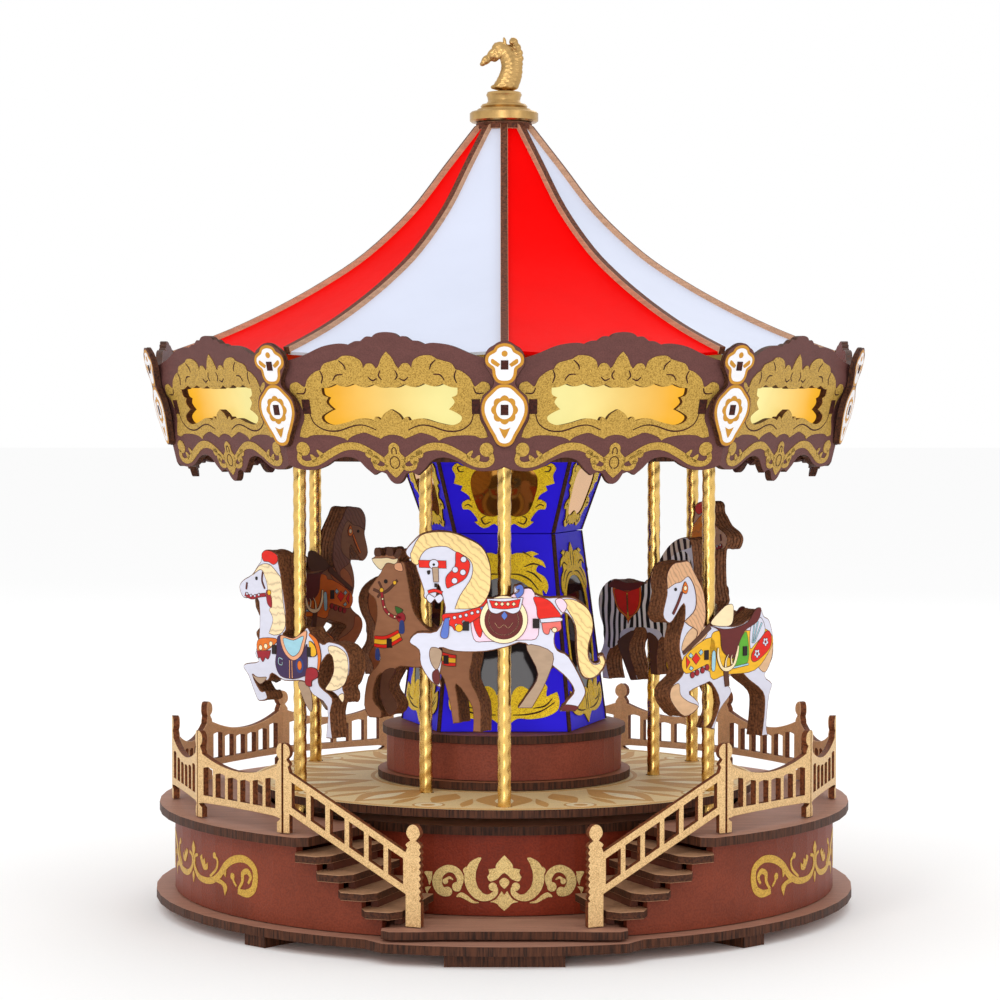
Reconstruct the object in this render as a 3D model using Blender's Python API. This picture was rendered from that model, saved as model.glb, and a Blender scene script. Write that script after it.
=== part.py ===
"""Carousel music box: a round base with stairs and fence, a turning deck, tower and tent
roof, and nine riders that rise and fall on twisted poles.

All sizes below are in millimetres; MM turns them into Blender's metres. The origin is the
middle of the footprint on the surface that the feet stand on, +Z is up and -Y is the front.
Angles are in degrees, counted from the front (-Y) towards +X.
"""
import math

import bmesh
import bpy
from mathutils import Matrix, Vector

MM = 0.001
GAP = 0.3            # air between two boards that rest on each other
ROUND = 48           # steps of the large circles
SMALL = 12           # steps of rods and small holes

# Base
FOOT_HEIGHT = 3.5
PLATE_RADIUS = 116.8
PLATE_BOTTOM = FOOT_HEIGHT + GAP
PLATE_TOP = PLATE_BOTTOM + 2.8
BULGE_RADIUS = 121.5
BULGE_ANGLE = 17.5
WALL_RADIUS = 110.5
WALL_THICKNESS = 3.0
WALL_END_ANGLE = 19.5
WALL_CLEAR_ANGLE = 0.2
TERRACE_RADIUS = 115.6
BOARD = 2.8
TERRACE_TOP = 35.2
TERRACE_BOTTOM = TERRACE_TOP - BOARD
TERRACE_END_ANGLE = 32.0
INNER_WALL_RADIUS = 71.4
STAGE_RADIUS = 73.4
KEY_OPENING_RADIUS = 15.0

# Stairs, handrails and fence
LANDING_TOP = 9.8
LANDING_THICKNESS = 2.4
TREAD_COUNT = 4
TREAD_THICKNESS = 2.4
TREAD_FIRST_ANGLE = 35.0
TREAD_PITCH_ANGLE = 4.07
TREAD_WIDTH_ANGLE = 6.8
TREAD_INNER_RADIUS = 80.0
TREAD_OUTER_RADIUS = 115.0
STEP_HEIGHT = (TERRACE_TOP - LANDING_TOP) / (TREAD_COUNT + 1)
POST_ANGLE = 37.72
POST_RADIUS = 110.5
PANELS_PER_SIDE = 6
PANEL_ANGLE = (180.0 - POST_ANGLE) / PANELS_PER_SIDE
FENCE_HEIGHT = 27.6
FENCE_THICKNESS = 2.2
FENCE_OPENINGS = 6       # in each panel
FENCE_BAR = 1.7
FENCE_RAIL = 2.5
HALF_POST = 2.4
HANDRAIL_OPENINGS = 6
HANDRAIL_BAR = 1.8
HANDRAIL_RAIL = 2.6
HANDRAIL_DEPTH = 12.6    # from the top rail's upper edge to the bottom rail's lower edge
HANDRAIL_RISE = 18.6     # of the top rail's upper end over the terrace
HANDRAIL_LOW_END = 32.5
LOWER_NEWEL = (27.0, -107.0)
LOWER_NEWEL_TOP = 41.0
NEWEL_WIDTH = 5.1

# Turning deck and drum
DECK_RADIUS = 84.6
DECK_BOTTOM = 39.4
DECK_TOP = 42.0
DRUM_FLANGE_RADIUS = 42.6
DRUM_WALL_RADIUS = 39.6
DRUM_TOP_RADIUS = 41.0
DRUM_FLANGE_TOP = 44.8
DRUM_WALL_TOP = 56.8
DRUM_TOP = 59.7

# Tower: a five-sided shell with a waist
TOWER_SIDES = 5
TOWER_FOOT_RADIUS = 36.6
TOWER_WAIST_RADIUS = 27.7
TOWER_HEAD_RADIUS = 37.0
TOWER_WAIST = 124.7
TOWER_WALL = 2.2

# Canopy: ten sides, with a corner to the front
SIDES = 10
SIDE_ANGLE = 360.0 / SIDES
CEILING_BOTTOM = 149.5
CEILING_TOP = 152.3
CEILING_RADIUS = 108.5
CORNICE_BOTTOM = 148.3
CORNICE_BOTTOM_RADIUS = 112.0
CORNICE_TOP = 178.0
CORNICE_TOP_RADIUS = 119.3
CORNICE_THICKNESS = 2.6
WINDOW_BOTTOM = 159.0
WINDOW_TOP = 172.5
MEDALLION_THICKNESS = 2.2
MEDALLION_SINK = 0.8     # how far a medallion's back lies inside the corner it is glued to
LIGHT_RING_DEPTH = 3.2
LIGHT_RING_WALL = 1.2
RIB_THICKNESS = 2.4
RIB_DEPTH = 2.4
SKIN_THICKNESS = 1.2
ROOF_CURVE = [(10.1, 260.2), (20.7, 246.9), (33.0, 231.5), (48.3, 217.4), (62.7, 207.7),
              (76.8, 199.8), (90.6, 193.1), (102.0, 188.4), (113.0, 184.4)]
HUB_TOP = 261.4
HUB_THICKNESS = 2.5

# Poles and riders
POLE_RADIUS = 2.25
POLE_HOLE_RADIUS = 2.65
POLE_LENGTH = 149.4
OUTER_CIRCLE = 76.4
INNER_CIRCLE = 50.5
HIGH_FOOT = 37.6
STROKE = 14.0
RIDER_THICKNESS = 7.0

# Wind-up movement
BEDPLATE_TOP = 14.5
BARREL_RADIUS = 9.0
BARREL_BOTTOM = 15.1
BARREL_TOP = 24.0
SHAFT_RADIUS = 2.0
CYLINDER_AXIS = (17.5, 23.0)      # y and z of the music cylinder's axis
CYLINDER_RADIUS = 5.0
GOVERNOR_AXIS = (24.0, 14.0)      # x and y of the governor's axis


# ---------------------------------------------------------------- helpers

def clear_scene():
    for item in list(bpy.data.objects):
        bpy.data.objects.remove(item, do_unlink=True)


def material(name, colour, roughness, metallic=0.0):
    found = bpy.data.materials.get(name)
    if found:
        return found
    made = bpy.data.materials.new(name)
    made.use_nodes = True
    shader = made.node_tree.nodes["Principled BSDF"]
    shader.inputs["Base Color"].default_value = (*colour, 1.0)
    shader.inputs["Roughness"].default_value = roughness
    shader.inputs["Metallic"].default_value = metallic
    made.diffuse_color = (*colour, 1.0)
    return made


def polar(radius, angle):
    """Point at an angle counted from the front (-Y) towards +X."""
    turn = math.radians(angle)
    return radius * math.sin(turn), -radius * math.cos(turn)


def circle(radius, steps, centre=(0.0, 0.0), start=0.0):
    points = []
    for index in range(steps):
        x, y = polar(radius, start + 360.0 * index / steps)
        points.append((centre[0] + x, centre[1] + y))
    return points


def arc(radius, first, last, steps):
    return [polar(radius, first + (last - first) * i / steps) for i in range(steps + 1)]


def plate(outline, holes, bottom, top):
    """Flat board with holes, lying in XY between two heights."""
    mesh = bmesh.new()
    edges = []
    for loop in [outline, *holes]:
        corners = [mesh.verts.new((x, y, bottom)) for x, y in loop]
        for one, two in zip(corners, corners[1:] + corners[:1]):
            edges.append(mesh.edges.new((one, two)))
    bmesh.ops.triangle_fill(mesh, use_beauty=True, edges=edges, normal=(0, 0, 1))
    raised = bmesh.ops.extrude_face_region(mesh, geom=list(mesh.faces))
    moved = [item for item in raised["geom"] if isinstance(item, bmesh.types.BMVert)]
    bmesh.ops.translate(mesh, verts=moved, vec=(0, 0, top - bottom))
    bmesh.ops.recalc_face_normals(mesh, faces=mesh.faces[:])
    return mesh


def box(low, high):
    mesh = bmesh.new()
    made = bmesh.ops.create_cube(mesh, size=1.0)
    for vert in made["verts"]:
        vert.co = Vector(low[i] if vert.co[i] < 0 else high[i] for i in range(3))
    return mesh


def swept(profile_at, angles, closed):
    """Solid ring: profile_at(angle) gives the (radius, height) outline at each angle."""
    mesh = bmesh.new()
    rows = []
    for angle in angles:
        row = []
        for radius, height in profile_at(angle):
            row.append(mesh.verts.new((*polar(radius, angle), height)))
        rows.append(row)
    pairs = list(zip(rows, rows[1:]))
    if closed:
        pairs.append((rows[-1], rows[0]))
    for row, following in pairs:
        for i in range(len(row)):
            j = (i + 1) % len(row)
            mesh.faces.new((row[i], row[j], following[j], following[i]))
    if not closed:
        mesh.faces.new(rows[0])
        mesh.faces.new(rows[-1])
    bmesh.ops.remove_doubles(mesh, verts=mesh.verts[:], dist=1e-5)
    bmesh.ops.dissolve_degenerate(mesh, edges=mesh.edges[:], dist=1e-5)
    bmesh.ops.recalc_face_normals(mesh, faces=mesh.faces[:])
    return mesh


def turned(profile, steps=ROUND):
    """Full turn of a profile; points on the axis may be given with radius 0."""
    angles = [360.0 * index / steps for index in range(steps)]
    return swept(lambda angle: profile, angles, True)


def joined(meshes):
    """Several meshes in one, still as separate bodies."""
    whole = bmesh.new()
    for mesh in meshes:
        copy = bpy.data.meshes.new("part")
        mesh.to_mesh(copy)
        whole.from_mesh(copy)
        bpy.data.meshes.remove(copy)
    return whole


def placed(mesh, matrix):
    bmesh.ops.transform(mesh, matrix=matrix, verts=mesh.verts[:])
    return mesh


def upright(mesh, origin, direction):
    """Stand a plate drawn in XY on edge: x runs along direction, y becomes height."""
    along = Vector((direction[0], direction[1], 0.0)).normalized()
    across = Vector((along.y, -along.x, 0.0))
    turn = Matrix((along, Vector((0.0, 0.0, 1.0)), across)).transposed().to_4x4()
    return placed(mesh, Matrix.Translation(Vector(origin)) @ turn)


def add_object(name, mesh, finish, pivot=(0.0, 0.0, 0.0), smooth=False):
    """Make the object, with its origin at pivot. The mesh comes in world millimetres."""
    bmesh.ops.translate(mesh, verts=mesh.verts[:], vec=-Vector(pivot))
    bmesh.ops.scale(mesh, verts=mesh.verts[:], vec=(MM, MM, MM))
    data = bpy.data.meshes.new(name)
    mesh.to_mesh(data)
    mesh.free()
    if smooth:
        data.shade_smooth()
        data.set_sharp_from_angle(angle=math.radians(35))
    data.materials.append(finish)
    made = bpy.data.objects.new(name, data)
    made.location = Vector(pivot) * MM
    bpy.context.scene.collection.objects.link(made)
    return made


def unite(target, mesh):
    """Join the bodies in mesh to target with an exact Boolean."""
    helper = add_object(target.name + "_join", mesh, target.data.materials[0])
    helper.hide_render = True
    helper.display_type = "WIRE"
    modifier = target.modifiers.new("join", "BOOLEAN")
    modifier.operation = "UNION"
    modifier.solver = "EXACT"
    modifier.use_self = False
    modifier.object = helper


# ---------------------------------------------------------------- materials

BOARD_BROWN = material("board_brown", (0.27, 0.13, 0.09), 0.6)
WALL_RED = material("wall_red", (0.24, 0.06, 0.035), 0.55)
RAIL_GOLD = material("rail_gold", (0.62, 0.43, 0.2), 0.5)
DECK_CREAM = material("deck_cream", (0.86, 0.66, 0.36), 0.5)
TOWER_BLUE = material("tower_blue", (0.03, 0.02, 0.6), 0.2)
CORNICE_BROWN = material("cornice_brown", (0.14, 0.05, 0.05), 0.55)
ROOF_WHITE = material("roof_white", (0.85, 0.87, 0.92), 0.35)
GLOW = material("glow", (1.0, 0.85, 0.4), 0.6)
GOLD = material("gold", (0.55, 0.38, 0.16), 0.35, 1.0)
BRASS = material("brass", (0.78, 0.57, 0.24), 0.3, 1.0)
STEEL = material("steel", (0.6, 0.6, 0.6), 0.35, 1.0)
BLACK = material("black_plastic", (0.03, 0.03, 0.03), 0.5)
RIB_WOOD = material("rib_wood", (0.45, 0.24, 0.14), 0.6)


# ---------------------------------------------------------------- base

def make_base_plate():
    outline = []
    outline += arc(BULGE_RADIUS, -BULGE_ANGLE, BULGE_ANGLE, 10)
    outline += arc(PLATE_RADIUS, BULGE_ANGLE + 3.5, 360.0 - BULGE_ANGLE - 3.5, ROUND)
    opening = circle(KEY_OPENING_RADIUS, 24)
    add_object("base_plate", plate(outline, [opening], PLATE_BOTTOM, PLATE_TOP), BOARD_BROWN)


def wall_top(angle):
    """Height of the outer wall: full under the terrace, stepped under the stairs."""
    side = abs((angle + 180.0) % 360.0 - 180.0)
    steps = math.ceil((TREAD_FIRST_ANGLE + WALL_CLEAR_ANGLE - side) / TREAD_PITCH_ANGLE)
    if steps <= 0:
        return TERRACE_BOTTOM - GAP
    return TERRACE_TOP - steps * STEP_HEIGHT - TREAD_THICKNESS - GAP


def make_base_wall():
    angles = [WALL_END_ANGLE]
    for index in reversed(range(TREAD_COUNT)):
        edge = TREAD_FIRST_ANGLE + WALL_CLEAR_ANGLE - index * TREAD_PITCH_ANGLE
        angles += [edge - 0.04, edge + 0.04]
    angles += [TREAD_FIRST_ANGLE + 5.2 * step for step in range(1, 28)]
    angles = [a for a in angles if a < 180.0]
    angles = angles + [180.0] + [360.0 - a for a in reversed(angles)]
    inner = WALL_RADIUS - WALL_THICKNESS
    foot = PLATE_TOP + GAP

    def profile(angle):
        top = wall_top(angle)
        return [(inner, foot), (WALL_RADIUS, foot), (WALL_RADIUS, top), (inner, top)]

    add_object("base_wall", swept(profile, angles, False), WALL_RED, smooth=True)


def make_inner_wall():
    low = PLATE_TOP + GAP
    high = TERRACE_BOTTOM - GAP
    inner = INNER_WALL_RADIUS - WALL_THICKNESS
    ring = [(inner, low), (INNER_WALL_RADIUS, low), (INNER_WALL_RADIUS, high), (inner, high)]
    add_object("inner_wall", turned(ring, 40), WALL_RED, smooth=True)


def make_terrace():
    """Open ring around the deck; the stairs come up through its front gap."""
    end = TERRACE_END_ANGLE
    inner = OUTER_CIRCLE + POLE_RADIUS + 0.6
    outline = [polar(TERRACE_RADIUS - 3.0, end)]
    outline += arc(TERRACE_RADIUS, end + 1.6, 358.4 - end, ROUND)
    outline += [polar(TERRACE_RADIUS - 3.0, 360.0 - end)]
    outline += arc(inner, 360.0 - end, end, 36)
    mesh = plate(outline, [], TERRACE_BOTTOM, TERRACE_TOP)
    add_object("terrace_board", mesh, BOARD_BROWN)


def make_stage():
    """Fixed boards under the deck. The gap between them is the inner poles' track."""
    hole = INNER_CIRCLE + POLE_RADIUS + 0.6
    mesh = plate(circle(STAGE_RADIUS, ROUND), [circle(hole, 32)], TERRACE_BOTTOM, TERRACE_TOP)
    add_object("stage_ring", mesh, BOARD_BROWN)
    bore = SHAFT_RADIUS + 0.35
    lid = INNER_CIRCLE - POLE_RADIUS - 0.6
    wall = lid - 2.0
    foot = PLATE_TOP + GAP
    cover = [(bore, TERRACE_BOTTOM), (wall - 2.5, TERRACE_BOTTOM), (wall - 2.5, foot),
             (wall, foot), (wall, TERRACE_BOTTOM), (lid, TERRACE_BOTTOM),
             (lid, TERRACE_TOP), (bore, TERRACE_TOP)]
    add_object("mechanism_cover", turned(cover, 28), BOARD_BROWN, smooth=True)


def make_landing():
    half = [(18.0, -113.6), (26.0, -114.5), (34.5, -114.5), (36.9, -112.0), (36.9, -107.6),
            (34.5, -106.0), (34.5, -92.5)]
    outline = half + [(-x, y) for x, y in reversed(half)]
    board = plate(outline, [], LANDING_TOP - LANDING_THICKNESS, LANDING_TOP)
    landing = add_object("landing", board, BOARD_BROWN)
    foot = [(17.0, -106.0), (31.0, -112.0), (31.0, -95.0), (-31.0, -95.0), (-31.0, -112.0),
            (-17.0, -106.0)]
    under = plate(foot, [], PLATE_TOP + GAP, LANDING_TOP - LANDING_THICKNESS + 0.4)
    unite(landing, under)


def stair_outline():
    """Side view of one flight, as (angle, height): treads joined by set-back risers."""
    over = 0.45
    first = TREAD_FIRST_ANGLE - 0.3
    right = [(first, TERRACE_BOTTOM - GAP), (TERRACE_END_ANGLE + 0.4, TERRACE_BOTTOM - GAP)]
    left = []
    edge = TERRACE_END_ANGLE + 0.4
    for index in range(TREAD_COUNT):
        top = TERRACE_TOP - (index + 1) * STEP_HEIGHT
        low = top - TREAD_THICKNESS
        outer = TREAD_FIRST_ANGLE - index * TREAD_PITCH_ANGLE
        nose = outer - TREAD_WIDTH_ANGLE
        right += [(edge, top), (nose, top), (nose, low)]
        edge = nose + over
        right.append((edge, low))
        left += [(outer - over if index else first, top), (outer, top), (outer, low)]
        if index < TREAD_COUNT - 1:
            left.append((outer - TREAD_PITCH_ANGLE - over, low))
    foot = LANDING_TOP + GAP
    right += [(edge, foot), (edge + 1.6, foot), (edge + 1.6, low)]
    return right + left[::-1]


def make_stairs(side, name):
    mesh = plate(stair_outline(), [], TREAD_INNER_RADIUS, TREAD_OUTER_RADIUS)
    for vert in mesh.verts:
        x, y = polar(vert.co.z, side * vert.co.x)
        vert.co = (x, y, vert.co.y)
    bmesh.ops.recalc_face_normals(mesh, faces=mesh.faces[:])
    add_object(name, mesh, BOARD_BROWN)


def rail_height(share):
    """Top of the hanging fence rail, from 0 at one post to 1 at the next."""
    return 16.2 + 3.6 * (2.0 * share - 1.0) ** 2


def half_post(foot, width):
    """Profile of half a post, foot to ball: (distance from the joint, height)."""
    head = FENCE_HEIGHT
    return [(width, foot), (width, head - 5.4), (width * 0.55, head - 4.6),
            (width * 0.9, head - 3.4), (width * 0.95, head - 1.9), (width * 0.55, head - 0.4)]


def fence_strip(width):
    """Outline and openings of six panels in a row, drawn flat."""
    top = []
    bottom = []
    holes = []
    margin = FENCE_RAIL * 0.6
    for panel in range(PANELS_PER_SIDE):
        start = panel * width
        post = half_post(0.0, HALF_POST)
        top.append((start, FENCE_HEIGHT))
        top += [(start + x, z) for x, z in reversed(post[1:])]
        for step in range(7):
            share = step / 6.0
            x = start + HALF_POST + 0.01 + share * (width - 2 * HALF_POST - 0.02)
            top.append((x, rail_height(share)))
        top += [(start + width - x, z) for x, z in post[1:]]
        bottom += [(start + HALF_POST, 0.0), (start + HALF_POST, 3.0),
                   (start + HALF_POST + 1.5, 4.6), (start + width - HALF_POST - 1.5, 4.6),
                   (start + width - HALF_POST, 3.0), (start + width - HALF_POST, 0.0)]
        clear = width - 2 * (HALF_POST + margin) - (FENCE_OPENINGS - 1) * FENCE_BAR
        space = clear / FENCE_OPENINGS
        for index in range(FENCE_OPENINGS):
            left = start + HALF_POST + margin + index * (space + FENCE_BAR)
            right = left + space
            share_left = (left - start) / width
            share_right = (right - start) / width
            holes.append([(left, 7.0), (right, 7.0),
                          (right, rail_height(share_right) - FENCE_RAIL),
                          (left, rail_height(share_left) - FENCE_RAIL)])
    end = PANELS_PER_SIDE * width
    top.append((end, FENCE_HEIGHT))
    return [(0.0, 0.0)] + top + [(end, 0.0)] + bottom[::-1], holes


def cut_at(mesh, positions):
    for x in positions:
        everything = mesh.verts[:] + mesh.edges[:] + mesh.faces[:]
        bmesh.ops.bisect_plane(mesh, geom=everything, plane_co=(x, 0, 0), plane_no=(1, 0, 0),
                               dist=1e-4)


def wrap(mesh, width, step_angle, start_angle, radius_at, side=1):
    """Fold a flat strip (x along, y height, z depth outwards) around a regular polygon."""
    lean = math.cos(math.radians(step_angle / 2))
    for vert in mesh.verts:
        along = vert.co.x / width
        panel = math.floor(along + 1e-6)
        share = along - panel
        radius = radius_at(vert.co.y) + vert.co.z / lean
        one = Vector(polar(radius, side * (start_angle + panel * step_angle)))
        two = Vector(polar(radius, side * (start_angle + (panel + 1) * step_angle)))
        spot = one.lerp(two, share)
        vert.co = (spot.x, spot.y, vert.co.y)
    bmesh.ops.recalc_face_normals(mesh, faces=mesh.faces[:])


def make_fence(side, name):
    width = 2 * POST_RADIUS * math.sin(math.radians(PANEL_ANGLE / 2))
    outline, holes = fence_strip(width)
    end = PANELS_PER_SIDE * width
    trimmed = [(min(max(x, 0.5), end - 0.35), z) for x, z in outline]
    mesh = plate(trimmed, holes, -FENCE_THICKNESS / 2, FENCE_THICKNESS / 2)
    cut_at(mesh, [width * panel for panel in range(1, PANELS_PER_SIDE)])
    wrap(mesh, width, PANEL_ANGLE, POST_ANGLE, lambda height: POST_RADIUS, side)
    placed(mesh, Matrix.Translation((0, 0, TERRACE_TOP + GAP)))
    add_object(name, mesh, RAIL_GOLD)


def make_handrail(side, name):
    """Sloping panel from the terrace's front post down to the newel on the landing."""
    first = Vector(polar(POST_RADIUS, POST_ANGLE))
    last = Vector(LOWER_NEWEL)
    length = (last - first).length
    terrace = TERRACE_TOP + GAP
    foot = LANDING_TOP + GAP
    newel = length - NEWEL_WIDTH / 2
    far = length + NEWEL_WIDTH / 2
    slope = (terrace + HANDRAIL_RISE - HANDRAIL_LOW_END) / (newel - HALF_POST)

    def top_line(x):
        return terrace + HANDRAIL_RISE - slope * (x - HALF_POST)

    upper = [(0.5 if x == 0 else x, terrace + z) for x, z in half_post(0.0, HALF_POST)]
    ball = LOWER_NEWEL_TOP
    outline = [(0.5, terrace), (0.5, terrace + FENCE_HEIGHT)] + upper[:0:-1]
    outline += [(HALF_POST, top_line(HALF_POST)), (newel, top_line(newel)),
                (newel, ball - 5.6), (length - 1.4, ball - 4.8), (length - 2.4, ball - 2.6),
                (length - 1.4, ball - 0.6), (length, ball), (length + 1.4, ball - 0.6),
                (length + 2.4, ball - 2.6), (length + 1.4, ball - 4.8), (far, ball - 5.6),
                (far, foot), (newel, foot), (newel, top_line(newel) - HANDRAIL_DEPTH),
                (HALF_POST, top_line(HALF_POST) - HANDRAIL_DEPTH), (HALF_POST, terrace)]
    holes = []
    clear = newel - HALF_POST - 2.0 - (HANDRAIL_OPENINGS - 1) * HANDRAIL_BAR
    space = clear / HANDRAIL_OPENINGS
    low = HANDRAIL_DEPTH - HANDRAIL_RAIL
    for index in range(HANDRAIL_OPENINGS):
        left = HALF_POST + 1.0 + index * (space + HANDRAIL_BAR)
        right = left + space
        holes.append([(left, top_line(left) - low), (right, top_line(right) - low),
                      (right, top_line(right) - HANDRAIL_RAIL),
                      (left, top_line(left) - HANDRAIL_RAIL)])
    mesh = plate(outline, holes, -FENCE_THICKNESS / 2, FENCE_THICKNESS / 2)
    direction = (side * (last.x - first.x), last.y - first.y)
    mesh = upright(mesh, (side * first.x, first.y, 0.0), direction)
    bmesh.ops.recalc_face_normals(mesh, faces=mesh.faces[:])
    add_object(name, mesh, RAIL_GOLD)


def make_feet():
    add_object("foot_front", box((-18.0, -118.0, 0.0), (18.0, -108.0, FOOT_HEIGHT)), BOARD_BROWN)
    for name, angle in (("foot_front_left", -42.0), ("foot_front_right", 42.0),
                        ("foot_back_left", -138.0), ("foot_back_right", 138.0)):
        block = box((-4.5, -115.0, 0.0), (4.5, -99.0, FOOT_HEIGHT))
        placed(block, Matrix.Rotation(math.radians(angle), 4, "Z"))
        add_object(name, block, BOARD_BROWN)


# ---------------------------------------------------------------- lift cams and movement

def make_cams():
    """Wavy rings, drawn one stroke below their working height to leave the poles free."""
    foot = PLATE_TOP + GAP
    highest = HIGH_FOOT - STROKE - 0.5

    def cam(circle_radius, phase):
        def profile(angle):
            wave = math.cos(math.radians(3.0 * (angle - phase)))
            top = highest - STROKE / 2 + STROKE / 2 * wave
            inner = circle_radius - POLE_RADIUS + 0.1
            outer = circle_radius + POLE_RADIUS - 0.1
            return [(inner, foot), (outer, foot), (outer, top), (inner, top)]
        return profile

    angles = [42.0 + 276.0 * index / 44 for index in range(45)]
    mesh = swept(cam(OUTER_CIRCLE, 0.0), angles, False)
    add_object("outer_cam", mesh, BOARD_BROWN, smooth=True)
    full = [360.0 * index / 40 for index in range(40)]
    mesh = swept(cam(INNER_CIRCLE, 0.0), full, True)
    add_object("inner_cam", mesh, BOARD_BROWN, smooth=True)


def make_movement():
    low = BEDPLATE_TOP - 2.0
    edge = [(-30.0, -22.0), (30.0, -22.0), (30.0, 22.0), (12.0, 37.0), (-12.0, 37.0),
            (-30.0, 22.0)]
    bed = add_object("movement_bedplate", plate(edge, [circle(2.0, SMALL)], low, BEDPLATE_TOP),
                     STEEL)
    legs = []
    for x in (-27.0, 27.0):
        for y in (-19.0, 19.0):
            legs.append(box((x - 2, y - 2, PLATE_TOP + GAP), (x + 2, y + 2, low + 0.5)))
    axle_y, axle_z = CYLINDER_AXIS
    for x in (-15.4, 15.6):
        legs.append(box((x, axle_y - 2, low + 1.0), (x + 2.4, axle_y + 2, axle_z + 2)))
    unite(bed, joined(legs))

    comb_bottom = axle_z - 0.5
    reed = CYLINDER_AXIS[0] + CYLINDER_RADIUS + 0.7
    outline = [(-11.0, 36.0)]
    for tooth in range(8):
        left = -11.0 + 2.8 * tooth
        outline += [(left, reed), (left + 2.3, reed)]
        if tooth < 7:
            outline += [(left + 2.3, reed + 6.5), (left + 2.8, reed + 6.5)]
    outline += [(10.9, 36.0)]
    comb = add_object("music_comb", plate(outline, [], comb_bottom, comb_bottom + 1.0), STEEL)
    unite(comb, box((-10.0, 31.2, BEDPLATE_TOP + GAP), (10.0, 35.4, comb_bottom + 0.5)))


def make_spring_and_shaft():
    barrel = [(0.0, BARREL_BOTTOM), (BARREL_RADIUS, BARREL_BOTTOM), (BARREL_RADIUS, BARREL_TOP),
              (0.0, BARREL_TOP)]
    add_object("spring_barrel", turned(barrel, 20), BRASS, smooth=True)
    hub = TERRACE_TOP + 1.2
    shaft = [(0.0, BARREL_TOP + GAP), (SHAFT_RADIUS, BARREL_TOP + GAP), (SHAFT_RADIUS, hub),
             (8.0, hub), (8.0, DECK_BOTTOM - GAP), (0.0, DECK_BOTTOM - GAP)]
    add_object("turntable_shaft", turned(shaft, 16), STEEL, smooth=True)


def make_key():
    top = BARREL_BOTTOM - GAP
    wing_top = 9.0
    arbor = turned([(0.0, wing_top - 1.0), (1.5, wing_top - 1.0), (1.5, top), (0.0, top)], SMALL)
    wing = [(-10.5, 5.0), (-9.0, 4.3), (-3.0, 5.2), (3.0, 5.2), (9.0, 4.3), (10.5, 5.0),
            (10.5, 8.0), (9.0, 8.8), (3.0, 8.2), (2.2, wing_top), (-2.2, wing_top),
            (-3.0, 8.2), (-9.0, 8.8), (-10.5, 8.0)]
    mesh = upright(plate(wing, [], -1.0, 1.0), (0.0, 0.0, 0.0), (1.0, 0.0))
    bmesh.ops.recalc_face_normals(mesh, faces=mesh.faces[:])
    key = add_object("winding_key", mesh, BRASS)
    unite(key, arbor)


def make_cylinder():
    """Pinned cylinder and its wheel, turned about X."""
    y, z = CYLINDER_AXIS
    pivot = (0.0, y, z)
    profile = [(0.0, -12.0), (CYLINDER_RADIUS, -12.0), (CYLINDER_RADIUS, 12.0), (3.0, 12.0),
               (3.0, 13.0), (6.6, 13.0), (6.6, 14.6), (0.0, 14.6)]
    mesh = turned(profile, 16)
    placed(mesh, Matrix.Translation(pivot) @ Matrix.Rotation(math.radians(90), 4, "Y"))
    bmesh.ops.recalc_face_normals(mesh, faces=mesh.faces[:])
    add_object("music_cylinder", mesh, BRASS, pivot, smooth=True)


def make_governor():
    x, y = GOVERNOR_AXIS
    low = BEDPLATE_TOP + GAP
    shaft = turned([(0.0, low), (0.9, low), (0.9, low + 11.0), (0.0, low + 11.0)], 10)
    placed(shaft, Matrix.Translation((x, y, 0.0)))
    fan = box((x - 4.0, y - 0.5, low + 5.5), (x + 4.0, y + 0.5, low + 9.5))
    governor = add_object("governor", shaft, STEEL, (x, y, 0.0))
    unite(governor, fan)


# ---------------------------------------------------------------- deck, drum and tower

def pole_places():
    """Name, circle, angle, rest height above the high position, twist about the pole."""
    low = -STROKE
    middle = -STROKE / 2
    return [("front", OUTER_CIRCLE, 0.0, 0.0, 0.0),
            ("front_right", OUTER_CIRCLE, 60.0, low, -16.0),
            ("back_right", OUTER_CIRCLE, 120.0, 0.0, 0.0),
            ("back", OUTER_CIRCLE, 180.0, low, 0.0),
            ("back_left", OUTER_CIRCLE, -120.0, 0.0, -6.0),
            ("front_left", OUTER_CIRCLE, -60.0, low, 15.0),
            ("inner_left", INNER_CIRCLE, -30.0, middle, 0.0),
            ("inner_right", INNER_CIRCLE, 90.0, middle, 33.0),
            ("inner_back", INNER_CIRCLE, -150.0, middle, 0.0)]


def pole_holes():
    holes = []
    for _, radius, angle, _, _ in pole_places():
        holes.append(circle(POLE_HOLE_RADIUS, 10, polar(radius, angle)))
    return holes


def make_deck():
    mesh = plate(circle(DECK_RADIUS, 60), pole_holes(), DECK_BOTTOM, DECK_TOP)
    add_object("deck", mesh, DECK_CREAM)


def make_drum():
    low = DECK_TOP + GAP
    flange = plate(circle(DRUM_FLANGE_RADIUS, 40), [], low, DRUM_FLANGE_TOP)
    add_object("drum_flange", flange, BOARD_BROWN)
    inner = DRUM_WALL_RADIUS - 2.4
    low = DRUM_FLANGE_TOP + GAP
    wall = [(inner, low), (DRUM_WALL_RADIUS, low), (DRUM_WALL_RADIUS, DRUM_WALL_TOP),
            (inner, DRUM_WALL_TOP)]
    add_object("drum_wall", turned(wall, 32), WALL_RED, smooth=True)
    low = DRUM_WALL_TOP + GAP
    lid = plate(circle(DRUM_TOP_RADIUS, 40), [circle(9.0, 16)], low, DRUM_TOP)
    add_object("drum_top", lid, BOARD_BROWN)


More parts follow.
